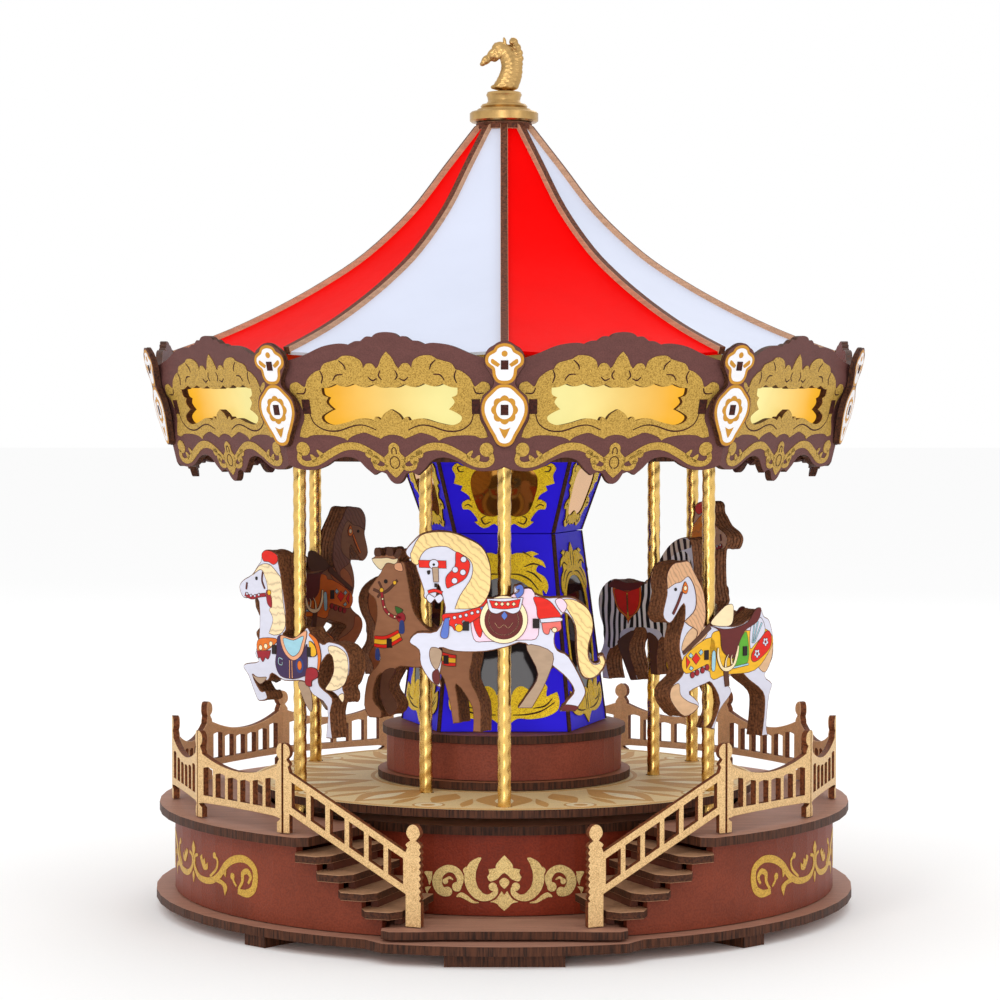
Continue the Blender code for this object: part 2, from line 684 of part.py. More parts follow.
def make_tower(name, low, high, low_radius, high_radius):
    """Five-sided shell, flat side to the front, open at both ends."""
    thick = TOWER_WALL / math.cos(math.radians(180.0 / TOWER_SIDES))
    angles = [180.0 / TOWER_SIDES + 360.0 * i / TOWER_SIDES for i in range(TOWER_SIDES)]
    shell = [(low_radius - thick, low), (low_radius, low), (high_radius, high),
             (high_radius - thick, high)]
    add_object(name, swept(lambda angle: shell, angles, True), TOWER_BLUE)


# ---------------------------------------------------------------- canopy

def cornice_radius(height):
    rise = (height - CORNICE_BOTTOM) / (CORNICE_TOP - CORNICE_BOTTOM)
    return CORNICE_BOTTOM_RADIUS + rise * (CORNICE_TOP_RADIUS - CORNICE_BOTTOM_RADIUS)


def decagon(radius):
    return [polar(radius, SIDE_ANGLE * index) for index in range(SIDES)]


def switch_place():
    return 30.0, 62.0


def make_ceiling():
    x, y = switch_place()
    slot = [(x - 4.0, y - 2.0), (x + 4.0, y - 2.0), (x + 4.0, y + 2.0), (x - 4.0, y + 2.0)]
    mesh = plate(decagon(CEILING_RADIUS), [*pole_holes(), slot], CEILING_BOTTOM, CEILING_TOP)
    add_object("ceiling_board", mesh, BOARD_BROWN)
    box_low = CEILING_TOP + GAP
    battery = box((-26.0, -15.0, box_low), (26.0, 15.0, box_low + 14.0))
    add_object("battery_box", battery, BLACK)
    lever = box((x - 2.4, y - 1.5, CEILING_BOTTOM - 2.2), (x - 0.4, y + 1.5, CEILING_TOP + 1.5))
    add_object("light_switch", lever, BLACK, (x, y, CEILING_BOTTOM))


def cornice_edges(width):
    """Top and bottom edge of one scalloped panel, as (x, height)."""
    top = [(0.0, CORNICE_TOP), (0.1, CORNICE_TOP + 0.6), (0.24, CORNICE_TOP + 4.8),
           (0.38, CORNICE_TOP + 6.6), (0.43, CORNICE_TOP + 9.4), (0.57, CORNICE_TOP + 9.4),
           (0.62, CORNICE_TOP + 6.6), (0.76, CORNICE_TOP + 4.8), (0.9, CORNICE_TOP + 0.6)]
    bottom = [(0.0, CORNICE_BOTTOM), (0.1, CORNICE_BOTTOM - 1.4), (0.26, CORNICE_BOTTOM + 2.4),
              (0.34, CORNICE_BOTTOM + 2.2), (0.4, CORNICE_BOTTOM - 2.4),
              (0.47, CORNICE_BOTTOM - 3.2), (0.5, CORNICE_BOTTOM - 5.6),
              (0.53, CORNICE_BOTTOM - 3.2), (0.6, CORNICE_BOTTOM - 2.4),
              (0.66, CORNICE_BOTTOM + 2.2), (0.74, CORNICE_BOTTOM + 2.4),
              (0.9, CORNICE_BOTTOM - 1.4)]
    return ([(x * width, z) for x, z in top], [(x * width, z) for x, z in bottom])


def medallion_outline():
    """Figure-of-eight board over a corner, as (x, height)."""
    half = [(1.6, 153.6), (3.2, 157.0), (5.4, 159.6), (7.6, 164.6), (6.4, 169.0), (3.8, 172.8),
            (6.0, 176.6), (6.2, 179.8), (4.2, 182.6), (1.8, 185.0)]
    return half + [(-x, z) for x, z in reversed(half)]


def lean_to_corner(mesh, angle, depth):
    """Stand a board drawn in XY against a leaning corner of the cornice."""
    for vert in mesh.verts:
        radius = cornice_radius(vert.co.y) + depth + vert.co.z
        radial = Vector(polar(1.0, angle))
        across = Vector((-radial.y, radial.x))
        spot = radial * radius + across * vert.co.x
        vert.co = (spot.x, spot.y, vert.co.y)
    bmesh.ops.recalc_face_normals(mesh, faces=mesh.faces[:])
    return mesh


def make_cornice():
    width = 2 * CORNICE_BOTTOM_RADIUS * math.sin(math.radians(SIDE_ANGLE / 2))
    top, bottom = cornice_edges(width)
    outline = []
    holes = []
    for panel in range(SIDES):
        outline += [(panel * width + x, z) for x, z in bottom]
    outline.append((SIDES * width, CORNICE_BOTTOM))
    outline.append((SIDES * width, CORNICE_TOP))
    for panel in reversed(range(SIDES)):
        outline += [(panel * width + x, z) for x, z in reversed(top)]
        left = (panel + 0.2) * width
        right = (panel + 0.8) * width
        holes.append([(left, WINDOW_BOTTOM), (right, WINDOW_BOTTOM), (right, WINDOW_TOP),
                      (left, WINDOW_TOP)])
    mesh = plate(outline, holes, -CORNICE_THICKNESS, 0.0)
    cut_at(mesh, [width * panel for panel in range(1, SIDES)])
    total = SIDES * width
    ends = []
    for face in mesh.faces:
        places = [vert.co.x for vert in face.verts]
        if max(places) < 1e-4 or min(places) > total - 1e-4:
            ends.append(face)
    bmesh.ops.delete(mesh, geom=ends, context="FACES")
    wrap(mesh, width, SIDE_ANGLE, 0.0, cornice_radius)
    bmesh.ops.remove_doubles(mesh, verts=mesh.verts[:], dist=1e-3)
    bmesh.ops.recalc_face_normals(mesh, faces=mesh.faces[:])
    cornice = add_object("cornice", mesh, CORNICE_BROWN)
    boards = []
    for corner in range(SIDES):
        board = plate(medallion_outline(), [], 0.0, MEDALLION_THICKNESS)
        boards.append(lean_to_corner(board, corner * SIDE_ANGLE, -MEDALLION_SINK))
    unite(cornice, joined(boards))


def make_light_ring():
    """Ten-sided diffuser that stands on the ceiling behind the windows."""
    low = CEILING_TOP + GAP
    high = CORNICE_TOP - 1.0
    angles = [SIDE_ANGLE * index for index in range(SIDES)]
    outer = LIGHT_RING_DEPTH
    inner = LIGHT_RING_DEPTH + LIGHT_RING_WALL
    shell = [(cornice_radius(low) - inner, low), (cornice_radius(low) - outer, low),
             (cornice_radius(high) - outer, high), (cornice_radius(high) - inner, high)]
    add_object("light_ring", swept(lambda angle: shell, angles, True), GLOW)


def offset_curve(curve, distance):
    """The curve moved square to itself, outwards and up for a positive distance."""
    moved = []
    for index, (radius, height) in enumerate(curve):
        before = curve[max(index - 1, 0)]
        after = curve[min(index + 1, len(curve) - 1)]
        run = Vector((after[0] - before[0], after[1] - before[1])).normalized()
        moved.append((radius - run.y * distance, height + run.x * distance))
    return moved


def make_roof():
    skin_top = offset_curve(ROOF_CURVE, -RIB_DEPTH - GAP)
    skin_low = offset_curve(ROOF_CURVE, -RIB_DEPTH - GAP - SKIN_THICKNESS)
    angles = [SIDE_ANGLE * index for index in range(SIDES)]
    shell = skin_top + skin_low[::-1]
    add_object("roof_skin", swept(lambda angle: shell, angles, True), ROOF_WHITE)

    inner = offset_curve(ROOF_CURVE, -RIB_DEPTH)
    outline = [(5.0, HUB_TOP - 0.4), (8.0, HUB_TOP - 0.2)] + ROOF_CURVE + inner[::-1]
    outline.append((5.0, HUB_TOP - HUB_THICKNESS))
    ribs = []
    for corner in range(SIDES):
        rib = plate(outline, [], -RIB_THICKNESS / 2, RIB_THICKNESS / 2)
        ribs.append(upright(rib, (0.0, 0.0, 0.0), polar(1.0, corner * SIDE_ANGLE)))
    for rib in ribs:
        bmesh.ops.recalc_face_normals(rib, faces=rib.faces[:])
    hub = plate(circle(9.4, 20), [], HUB_TOP - HUB_THICKNESS, HUB_TOP)
    frame = add_object("rib_frame", hub, RIB_WOOD)
    unite(frame, joined(ribs))


def make_finial():
    low = HUB_TOP + GAP
    profile = [(0.0, low), (11.0, low), (11.6, low + 0.6), (11.6, low + 3.2), (10.6, low + 4.2),
               (8.6, low + 4.4), (8.2, low + 5.6), (6.4, low + 6.4), (5.6, low + 8.2),
               (5.8, low + 10.2), (0.0, low + 10.2)]
    add_object("finial_base", turned(profile, 28), GOLD, smooth=True)
    low += 10.2 + GAP
    head = [(-4.6, 0.0), (4.8, 0.0), (5.2, 3.0), (6.4, 7.0), (6.2, 12.0), (4.0, 16.0),
            (1.6, 17.8), (0.6, 19.0), (-0.8, 17.4), (-3.4, 15.8), (-5.4, 12.8), (-8.2, 10.4),
            (-8.6, 8.4), (-6.8, 7.6), (-4.2, 9.0), (-2.0, 8.6), (-3.6, 5.0)]
    mesh = plate(head, [], -3.2, 3.2)
    mesh = upright(mesh, (0.0, 0.0, low), (1.0, 0.0))
    bmesh.ops.recalc_face_normals(mesh, faces=mesh.faces[:])
    add_object("finial_horse", mesh, GOLD)


# ---------------------------------------------------------------- poles and riders

# Outlines are (distance ahead of the pole, height above the rider's back).
PRANCER = [(30.5, 13.0), (28.0, 17.5), (20.5, 20.5), (12.0, 18.5), (6.0, 13.5), (4.5, 4.0),
           (1.5, -0.5), (-3.0, 0.5), (-3.5, 3.5), (-12.0, 0.0), (-17.5, 0.0), (-22.5, -0.5),
           (-27.0, -6.0), (-26.5, -15.0), (-30.0, -19.0), (-29.0, -23.5), (-24.0, -25.0),
           (-20.5, -18.0), (-22.5, -10.0), (-17.0, -5.0), (-15.5, -13.0), (-16.5, -17.5),
           (-20.0, -18.0), (-25.0, -29.0), (-22.0, -35.5), (-17.0, -35.5), (-21.0, -29.0),
           (-15.5, -21.5), (-8.5, -34.5), (-4.0, -34.5), (-10.5, -22.0), (-6.5, -14.5),
           (6.0, -17.0), (20.5, -16.0), (20.0, -27.0), (26.5, -18.0), (29.5, -14.0),
           (22.0, -11.0), (18.5, -4.0), (19.5, -0.5), (25.0, 0.0), (27.5, 9.0)]
PARADE = [(22.0, 16.0), (19.5, 21.0), (12.5, 21.5), (7.5, 15.0), (4.0, 6.0), (5.0, 0.5),
          (-2.0, 1.0), (-7.5, -0.5), (-13.0, 0.5), (-20.5, 5.5), (-25.5, 2.0), (-27.5, -4.0),
          (-27.0, -11.0), (-23.0, -16.5), (-27.0, -19.5), (-24.0, -32.0), (-25.0, -36.5),
          (-21.5, -36.5), (-22.5, -22.0), (-15.5, -17.5), (-11.0, -15.0), (-5.0, -18.5),
          (-6.5, -23.0), (-1.5, -33.0), (1.5, -32.5), (-1.5, -24.0), (1.5, -18.0),
          (5.5, -18.5), (13.5, -22.0), (7.0, -25.0), (14.0, -28.0), (20.5, -22.5),
          (20.0, -18.0), (15.0, -14.5), (16.5, -6.5), (14.5, 8.5), (20.0, 2.5), (24.0, 5.0)]
PLUMED = [(16.0, 23.0), (14.5, 25.0), (10.5, 24.5), (5.5, 16.0), (3.5, 4.5), (3.5, -2.5),
          (-1.0, -3.5), (-6.5, 0.5), (-10.5, -3.0), (-18.5, -3.5), (-25.0, -5.0),
          (-28.0, -11.0), (-25.0, -17.5), (-19.0, -19.5), (-15.0, -18.0), (-21.0, -14.5),
          (-20.5, -9.0), (-14.5, -10.5), (-13.5, -18.0), (-19.5, -21.5), (-19.5, -34.5),
          (-16.5, -34.5), (-17.0, -24.0), (-10.0, -21.0), (-4.5, -17.0), (5.0, -17.0),
          (13.0, -17.5), (18.5, -17.5), (13.5, -23.0), (17.0, -25.0), (22.5, -17.0),
          (24.0, -13.5), (18.0, -11.5), (16.5, -4.0), (16.5, 7.5), (24.5, 9.0),
          (26.5, 12.0), (20.0, 16.5)]
ZEBRA = [(25.0, 22.5), (20.0, 23.0), (13.0, 20.0), (6.0, 13.0), (0.5, 7.0), (-10.0, 6.5),
         (-18.5, 7.5), (-27.0, 4.0), (-28.0, -2.0), (-24.5, -9.0), (-24.5, -15.0),
         (-27.0, -19.5), (-24.5, -27.0), (-21.0, -27.0), (-22.0, -18.0), (-15.5, -12.0),
         (-15.5, -16.0), (-8.0, -26.5), (-4.0, -26.0), (-9.5, -16.0), (-5.5, -8.5),
         (0.0, -8.5), (2.5, -17.0), (3.0, -23.5), (7.0, -23.5), (7.5, -12.0), (12.0, -10.5),
         (17.5, -17.0), (20.5, -15.0), (14.5, -6.0), (13.5, 4.0), (17.0, 10.0), (25.5, 4.0),
         (29.5, 6.5), (27.0, 16.0)]
REINDEER = [(19.5, 12.0), (17.0, 15.5), (13.0, 18.5), (18.5, 22.0), (17.0, 25.5), (8.0, 26.0),
            (6.5, 21.5), (4.5, 14.0), (2.5, 6.0), (-2.5, 1.0), (-9.0, -1.0), (-16.0, -1.5),
            (-19.0, 1.5), (-21.0, -2.0), (-19.5, -9.0), (-18.5, -15.0), (-23.0, -23.0),
            (-22.5, -32.0), (-18.5, -32.0), (-18.5, -24.5), (-13.0, -17.5), (-15.5, -29.0),
            (-12.0, -30.0), (-8.0, -20.5), (-7.0, -13.0), (3.0, -12.0), (9.0, -12.5),
            (12.5, -21.0), (9.0, -26.0), (12.0, -28.5), (16.0, -21.5), (14.5, -14.5),
            (17.0, -17.5), (18.0, -24.0), (15.0, -29.5), (19.5, -29.5), (21.5, -25.5),
            (20.0, -16.5), (16.0, -11.5), (18.0, -4.5), (16.5, 2.0), (16.5, 9.0)]


def rider_looks():
    """Name: outline, height of the back at rest, main colour."""
    white = (0.85, 0.83, 0.84)
    brown = (0.35, 0.17, 0.08)
    return {"front": (PRANCER, 107.5, white), "front_right": (PARADE, 95.0, white),
            "back_right": (PLUMED, 109.0, brown), "back": (PRANCER, 93.5, (0.2, 0.16, 0.15)),
            "back_left": (PARADE, 109.0, brown), "front_left": (PLUMED, 95.0, white),
            "inner_left": (REINDEER, 95.0, (0.3, 0.17, 0.1)),
            "inner_right": (ZEBRA, 100.0, (0.5, 0.5, 0.5)),
            "inner_back": (ZEBRA, 100.0, (0.55, 0.4, 0.25))}


def make_riders():
    looks = rider_looks()
    bore = POLE_RADIUS + GAP
    for name, radius, angle, lift, twist in pole_places():
        x, y = polar(radius, angle)
        foot = HIGH_FOOT + lift
        top = foot + POLE_LENGTH
        rod = [(0.0, foot), (POLE_RADIUS, foot), (POLE_RADIUS, top), (0.0, top)]
        mesh = placed(turned(rod, SMALL), Matrix.Translation((x, y, 0.0)))
        add_object("pole_" + name, mesh, BRASS, (x, y, foot), smooth=True)

        outline, back, colour = looks[name]
        mesh = plate(outline, [], -RIDER_THICKNESS / 2, RIDER_THICKNESS / 2)
        facing = math.radians(angle + twist)
        ahead = (-math.cos(facing), -math.sin(facing))
        mesh = upright(mesh, (x, y, back), ahead)
        bmesh.ops.recalc_face_normals(mesh, faces=mesh.faces[:])
        finish = material("paint_" + name, colour, 0.4)
        rider = add_object("rider_" + name, mesh, finish, (x, y, back))
        drill = turned([(0.0, foot - 5.0), (bore, foot - 5.0), (bore, top), (0.0, top)], SMALL)
        cutter = add_object("bore_" + name, placed(drill, Matrix.Translation((x, y, 0.0))), finish)
        cutter.hide_render = True
        cutter.display_type = "WIRE"
        cut = rider.modifiers.new("bore", "BOOLEAN")
        cut.operation = "DIFFERENCE"
        cut.solver = "EXACT"
        cut.object = cutter


def main():
    make_base_plate()
    make_base_wall()
    make_inner_wall()
    make_terrace()
    make_stage()
    make_landing()
    make_stairs(-1, "stairs_left")
    make_stairs(1, "stairs_right")
    make_handrail(-1, "handrail_left")
    make_handrail(1, "handrail_right")
    make_fence(-1, "fence_left")
    make_fence(1, "fence_right")
    make_feet()
    make_cams()
    make_movement()
    make_spring_and_shaft()
    make_key()
    make_cylinder()
    make_governor()
    make_deck()
    make_drum()
    make_tower("tower_lower", DRUM_TOP + GAP, TOWER_WAIST - GAP, TOWER_FOOT_RADIUS,
               TOWER_WAIST_RADIUS)
    make_tower("tower_upper", TOWER_WAIST, CEILING_BOTTOM - GAP, TOWER_WAIST_RADIUS,
               TOWER_HEAD_RADIUS)
    make_ceiling()
    make_cornice()
    make_light_ring()
    make_roof()
    make_finial()
    make_riders()


clear_scene()
main()
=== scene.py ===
"""Looks of the carousel music box: a laser-cut plywood carousel on a round leather-covered base.

Drawings are in millimetres and angles in degrees, counted from the front (-Y) towards +X.
A drawing has x along the board, y up it and z out of its face; a place function puts it
in the model. Heights and radii that the frame knows are read from it.
"""
import math

import bmesh
import bpy
from mathutils import Matrix, Vector


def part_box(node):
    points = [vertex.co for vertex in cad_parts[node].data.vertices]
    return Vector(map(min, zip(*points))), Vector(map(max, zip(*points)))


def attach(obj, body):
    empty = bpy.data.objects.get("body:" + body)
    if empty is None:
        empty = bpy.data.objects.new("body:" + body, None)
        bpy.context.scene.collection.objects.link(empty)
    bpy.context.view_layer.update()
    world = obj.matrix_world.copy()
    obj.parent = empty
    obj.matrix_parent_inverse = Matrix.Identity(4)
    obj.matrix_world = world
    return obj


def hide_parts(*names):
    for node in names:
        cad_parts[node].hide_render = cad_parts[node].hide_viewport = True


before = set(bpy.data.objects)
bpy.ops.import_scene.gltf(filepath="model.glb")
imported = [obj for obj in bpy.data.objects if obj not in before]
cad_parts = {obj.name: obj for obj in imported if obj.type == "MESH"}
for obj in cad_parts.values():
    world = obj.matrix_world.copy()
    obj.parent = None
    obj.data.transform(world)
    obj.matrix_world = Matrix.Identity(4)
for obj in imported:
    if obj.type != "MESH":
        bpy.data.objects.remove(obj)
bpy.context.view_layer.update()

MM = 0.001
HANDS = (("left", -1), ("right", 1))
WELD = 1e-4                      # vertices closer than this are one
LEVEL = 0.7                      # least upward share of a normal on a board's face


def low(node):
    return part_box(node)[0] / MM


def high(node):
    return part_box(node)[1] / MM


# Base, stairs and rails
TERRACE_TOP = high("terrace_board").z
LANDING_TOP = high("landing").z
FOOT_GAP = 0.3                   # rails and risers stand this far above the boards
WALL_RADIUS = high("base_wall").x
INNER_WALL_RADIUS = high("inner_wall").x
WALL_SCROLLS = {"left": -64.7, "right": 64.7, "back_left": -132.0, "back_right": 132.0}
FRONT_ORNAMENT_HEIGHT = 17.7
ORNAMENT_SLICE = 4.0             # prints are cut this often to follow a round wall

TREADS = 4
TREAD_THICKNESS = 2.4
TREAD_FIRST_ANGLE = 35.0
TREAD_PITCH_ANGLE = 4.07
TREAD_WIDTH_ANGLE = 6.8
TREAD_RADII = (80.0, 111.4, 115.4)  # inner end, shoulder and tip
TREAD_TAPER = 1.5                # degrees cut off each corner of the tip
RISER_RADII = (82.0, 107.9)
RISER_ANGLES = (1.9, 0.7)        # back and face, past the low edge of the tread above

PANELS = 6                       # fence panels a side
POST_ANGLE = 37.72
POST_RADIUS = 110.5
PANEL_ANGLE = (180.0 - POST_ANGLE) / PANELS
FENCE_FOOT = TERRACE_TOP + FOOT_GAP
FENCE_HEIGHT = 27.6
HALF_POST = 2.4
PANEL_GAP = 0.12                 # left free at each end of a panel
BALL_HEIGHT = 5.6                # end of a post above its beaded part
BEAD_DEPTH = 0.6
BEAD_PITCH = 1.9
RAIL_TOP = 17.4                  # middle of a panel's concave top rail
RAIL_SWEEP = 3.8                 # rise of the rail towards the posts
FOOT_RAIL = (4.8, 7.2)           # bottom and top of the foot rail
FENCE_BAR = 1.5
HANDRAIL_BAR = 1.6
OPENINGS = 6                     # in a fence panel and in a handrail
OPENING_MARGIN = 0.8             # from the posts to the first opening
BOARD = 2.2                      # thickness of fence and rails
BOARD_BEVEL = 0.12
NEWEL = (27.0, -107.0)
NEWEL_TOP = 41.0
NEWEL_HALF = 2.55
HANDRAIL_HIGH = 18.9             # top of the rail at the terrace post, above the terrace
HANDRAIL_LOW = 32.5              # height of the top of the rail at the newel
HANDRAIL_DEPTH = 12.6
HANDRAIL_RAIL = 2.4

# Deck, tower, canopy and riders
DECK_TOP = high("deck").z
RAYS = 10                        # of the deck's inlay
TOWER_SIDES = 5
TOWER_RADII = (36.6, 27.7, 37.0)  # corners at the foot, waist and head
TOWER_LEVELS = (low("tower_lower").z, high("tower_lower").z, low("tower_upper").z,
                high("tower_upper").z)

SIDES = 10                       # canopy sides, with a corner to the front
SIDE_ANGLE = 360.0 / SIDES
HALF_SIDE = math.radians(SIDE_ANGLE / 2)
CORNICE_LOW = (148.3, 112.0)     # height and corner radius of the cornice board
CORNICE_HIGH = (178.0, 119.3)
CORNICE_THICKNESS = 2.6
MEDALLION_SINK = -0.8            # from the cornice's corner to the medallion's back
LIGHT_DEPTHS = (3.3, 4.1)        # faces of the lit strip behind the cornice's corners
LIGHT_COLUMNS = 12
ROOF_CURVE = [(10.1, 260.2), (20.7, 246.9), (33.0, 231.5), (48.3, 217.4), (62.7, 207.7),
              (76.8, 199.8), (90.6, 193.1), (102.0, 188.4), (113.0, 184.4)]
ROOF_DEPTHS = (1.5, 2.5)         # faces of the sheets below the ribs' top edge
ROOF_COLUMNS = 6
ROOF_SAG = 0.012
RIB_DEPTH = 2.3
RIB_HALF = 1.2

POLE_FOOT = 2.2                  # plain tip of each pole, which stays under the deck
POLE_RADIUS = 2.09
POLE_RELIEF = 0.08
POLE_TWIST = 73.0                # degrees a millimetre
POLE_STEP = 0.55
RIDER_HALF = 3.33                # half the stack of boards of a rider
RIDER_DEPTHS = (-2.75, -1.4, 0.0, 1.4, 2.75)
RIDER_BOARD = 0.6                # half a board


# ---------------------------------------------------------------- drawing

def polar(radius, angle):
    turn = math.radians(angle)
    return Vector((radius * math.sin(turn), -radius * math.cos(turn)))


def facing(angle):
    """Unit vectors out from the axis at an angle, and across it."""
    out = polar(1.0, angle)
    return out, Vector((-out.y, out.x))


def between(a, b, c, d, t):
    """Catmull-Rom curve from b to c."""
    square = (2 * a - 5 * b + 4 * c - d) * t * t
    cube = (3 * b - a - 3 * c + d) * t ** 3
    return 0.5 * (2 * b + (c - a) * t + square + cube)


def loop(points, steps=4):
    """Closed smooth outline. A point with a third value is a sharp corner."""
    spots = [Vector(point[:2]) for point in points]
    sharp = [len(point) > 2 for point in points]
    count = len(points)
    path = []
    for i in range(count):
        j = (i + 1) % count
        before = spots[i] if sharp[i] else spots[i - 1]
        after = spots[j] if sharp[j] else spots[(i + 2) % count]
        for step in range(steps):
            path.append(between(before, spots[i], spots[j], after, step / steps))
    return path


def line(points, steps=5):
    """Open smooth line."""
    spots = [Vector(point) for point in points]
    ends = [spots[0], *spots, spots[-1]]
    path = []
    for i in range(len(spots) - 1):
        for step in range(steps):
            path.append(between(*ends[i:i + 4], step / steps))
    return path + [spots[-1]]


def symmetric(half):
    """Closed smooth outline from its right half, which runs from the axis to the axis."""
    return loop(half + [(-x, *rest) for x, *rest in reversed(half) if x])


def paired(loops):
    """The loops and their mirror images."""
    return loops + [[Vector((-x, y)) for x, y in path] for path in loops]


def raised(loops, height):
    return [[Vector((x, y + height)) for x, y in path] for path in loops]


def grown(path, distance):
    """The closed outline moved outwards, or inwards for a negative distance."""
    area = sum(one.x * two.y - two.x * one.y for one, two in zip(path, path[1:] + path[:1]))
    side = distance if area > 0 else -distance
    spike = 0.4                  # corners sharper than this stay where they are
    moved = []
    for i, spot in enumerate(path):
        before = (spot - path[i - 1]).normalized()
        after = (path[(i + 1) % len(path)] - spot).normalized()
        across = Vector((before.y + after.y, -before.x - after.x))
        moved.append(spot + across.normalized() * side if across.length > spike else spot)
    return moved


def circle(x, y, radius, steps=20, tall=1.0):
    around = [polar(radius, 360.0 * step / steps) for step in range(steps)]
    return [Vector((x + spot.x, y + spot.y * tall)) for spot in around]


def dots(radius, *places):
    return [circle(x, y, radius, 14) for x, y in places]


def scalloped(x, y, radius, lobes, depth, tall=1.0):
    path = []
    for step in range(lobes * 6):
        turn = step / (lobes * 6)
        spot = polar(radius - depth + depth * abs(math.cos(math.pi * lobes * turn)), 360.0 * turn)
        path.append(Vector((x + spot.x, y + spot.y * tall)))
    return path


def rectangle(x, y, width, height):
    return [Vector((x + a * width / 2, y + b * height / 2))
            for a, b in ((-1, -1), (1, -1), (1, 1), (-1, 1))]


def ribbon(path, widths):
    """Band along a path; widths are spread evenly from its start to its end."""
    left = []
    right = []
    for i, spot in enumerate(path):
        run = path[min(i + 1, len(path) - 1)] - path[max(i - 1, 0)]
        across = Vector((-run.y, run.x)).normalized()
        place = i / (len(path) - 1) * (len(widths) - 1)
        first = min(int(place), len(widths) - 2)
        wide = widths[first] + (widths[first + 1] - widths[first]) * (place - first)
        left.append(spot + across * wide / 2)
        right.append(spot - across * wide / 2)
    return left + right[::-1]


def stroke(points, widths):
    """Band along a smooth line through the points."""
    return ribbon(line(points), widths)


def board(loops, bottom, top, bevel=0.0):
    """Flat board with the first loop as its outline and the others as holes."""
    curve = bpy.data.curves.new("drawing", "CURVE")
    curve.dimensions = "2D"
    curve.fill_mode = "BOTH"
    curve.extrude = (top - bottom) / 2 - bevel
    curve.bevel_depth = bevel
    curve.bevel_resolution = 0
    curve.offset = -bevel
    for path in loops:
        spline = curve.splines.new("POLY")
        spline.points.add(len(path) - 1)
        spline.points.foreach_set("co", [v for x, y in path for v in (x, y, 0.0, 1.0)])
        spline.use_cyclic_u = True
    holder = bpy.data.objects.new("drawing", curve)
    flat = bpy.data.meshes.new_from_object(holder)
    mesh = bmesh.new()
    mesh.from_mesh(flat)
    bmesh.ops.remove_doubles(mesh, verts=mesh.verts[:], dist=WELD)
    bmesh.ops.translate(mesh, verts=mesh.verts[:], vec=(0, 0, (top + bottom) / 2))
    bpy.data.objects.remove(holder)
    bpy.data.curves.remove(curve)
    bpy.data.meshes.remove(flat)
    return mesh


def sliced(mesh, step):
    """Cut across x at every step, so that the board can follow a round wall."""
    reach = max(abs(vert.co.x) for vert in mesh.verts)
    count = int(reach / step)
    for index in range(-count, count + 1):
        everything = mesh.verts[:] + mesh.edges[:] + mesh.faces[:]
        bmesh.ops.bisect_plane(mesh, geom=everything, plane_co=(index * step, 0, 0),
                               plane_no=(1, 0, 0), dist=WELD)
    return mesh


def skinned(mesh, rows, capped=True):
    """Faces between rows of vertices, each closed on itself, and over the end rows."""
    for row, following in zip(rows, rows[1:]):
        for i in range(len(row)):
            j = (i + 1) % len(row)
            mesh.faces.new((row[i], row[j], following[j], following[i]))
    if capped:
        mesh.faces.new(rows[0])
        mesh.faces.new(rows[-1])


def turned(profile, steps):
    """Turned body from its profile of radius and height."""
    mesh = bmesh.new()
    rows = []
    for index in range(steps):
        angle = 360.0 * index / steps
        spots = [(*polar(radius, angle), height) for radius, height in profile]
        rows.append([mesh.verts.new(spot) for spot in spots])
    skinned(mesh, rows + rows[:1], capped=False)
    bmesh.ops.remove_doubles(mesh, verts=mesh.verts[:], dist=WELD)
    bmesh.ops.dissolve_degenerate(mesh, edges=mesh.edges[:], dist=WELD)
    return mesh


# ---------------------------------------------------------------- placing

def on_wall(radius, angle):
    """Bend the drawing round an upright cylinder."""
    def place(x, y, z):
        spot = polar(radius + z, angle + math.degrees(x / radius))
        return spot.x, spot.y, y
    return place


def upright(start, towards):
    """Stand the drawing on edge at start, with x running towards the second point."""
    start = Vector(start)
    along = (Vector(towards) - start).normalized()

    def place(x, y, z):
        return (start.x + along.x * x + along.y * z, start.y + along.y * x - along.x * z, y)
    return place


def lifted(place, height, flip=1):
    """The same place higher up; a flip of -1 turns the drawing's face to the other side."""
    return lambda x, y, z: place(x, y + height, flip * z)


def cornice_radius(height):
    rise = (height - CORNICE_LOW[0]) / (CORNICE_HIGH[0] - CORNICE_LOW[0])
    return CORNICE_LOW[1] + rise * (CORNICE_HIGH[1] - CORNICE_LOW[1])


def on_cornice(side):
    """Lean the drawing on one side of the cornice, widening with its radius."""
    out, across = facing((side + 0.5) * SIDE_ANGLE)

    def place(x, y, z):
        radius = cornice_radius(y)
        spot = out * (radius * math.cos(HALF_SIDE) + z) + across * (x * radius / CORNICE_LOW[1])
        return spot.x, spot.y, y
    return place


def on_corner(angle, depth):
    """Lean the drawing against a corner of the cornice."""
    out, across = facing(angle)

    def place(x, y, z):
        spot = out * (cornice_radius(y) + depth + z) + across * x
        return spot.x, spot.y, y
    return place


def on_tower(side, foot, head, foot_radius, head_radius):
    """Lean the drawing on a tower side; y runs up its slope from the foot."""
    out, across = facing(360.0 * side / TOWER_SIDES)
    lean = math.cos(math.radians(180.0 / TOWER_SIDES))
    slope = Vector(((head_radius - foot_radius) * lean, head - foot)).normalized()

    def place(x, y, z):
        reach = foot_radius * lean + slope.x * y + slope.y * z
        spot = out * reach + across * x
        return spot.x, spot.y, foot + slope.y * y - slope.x * z
    return place


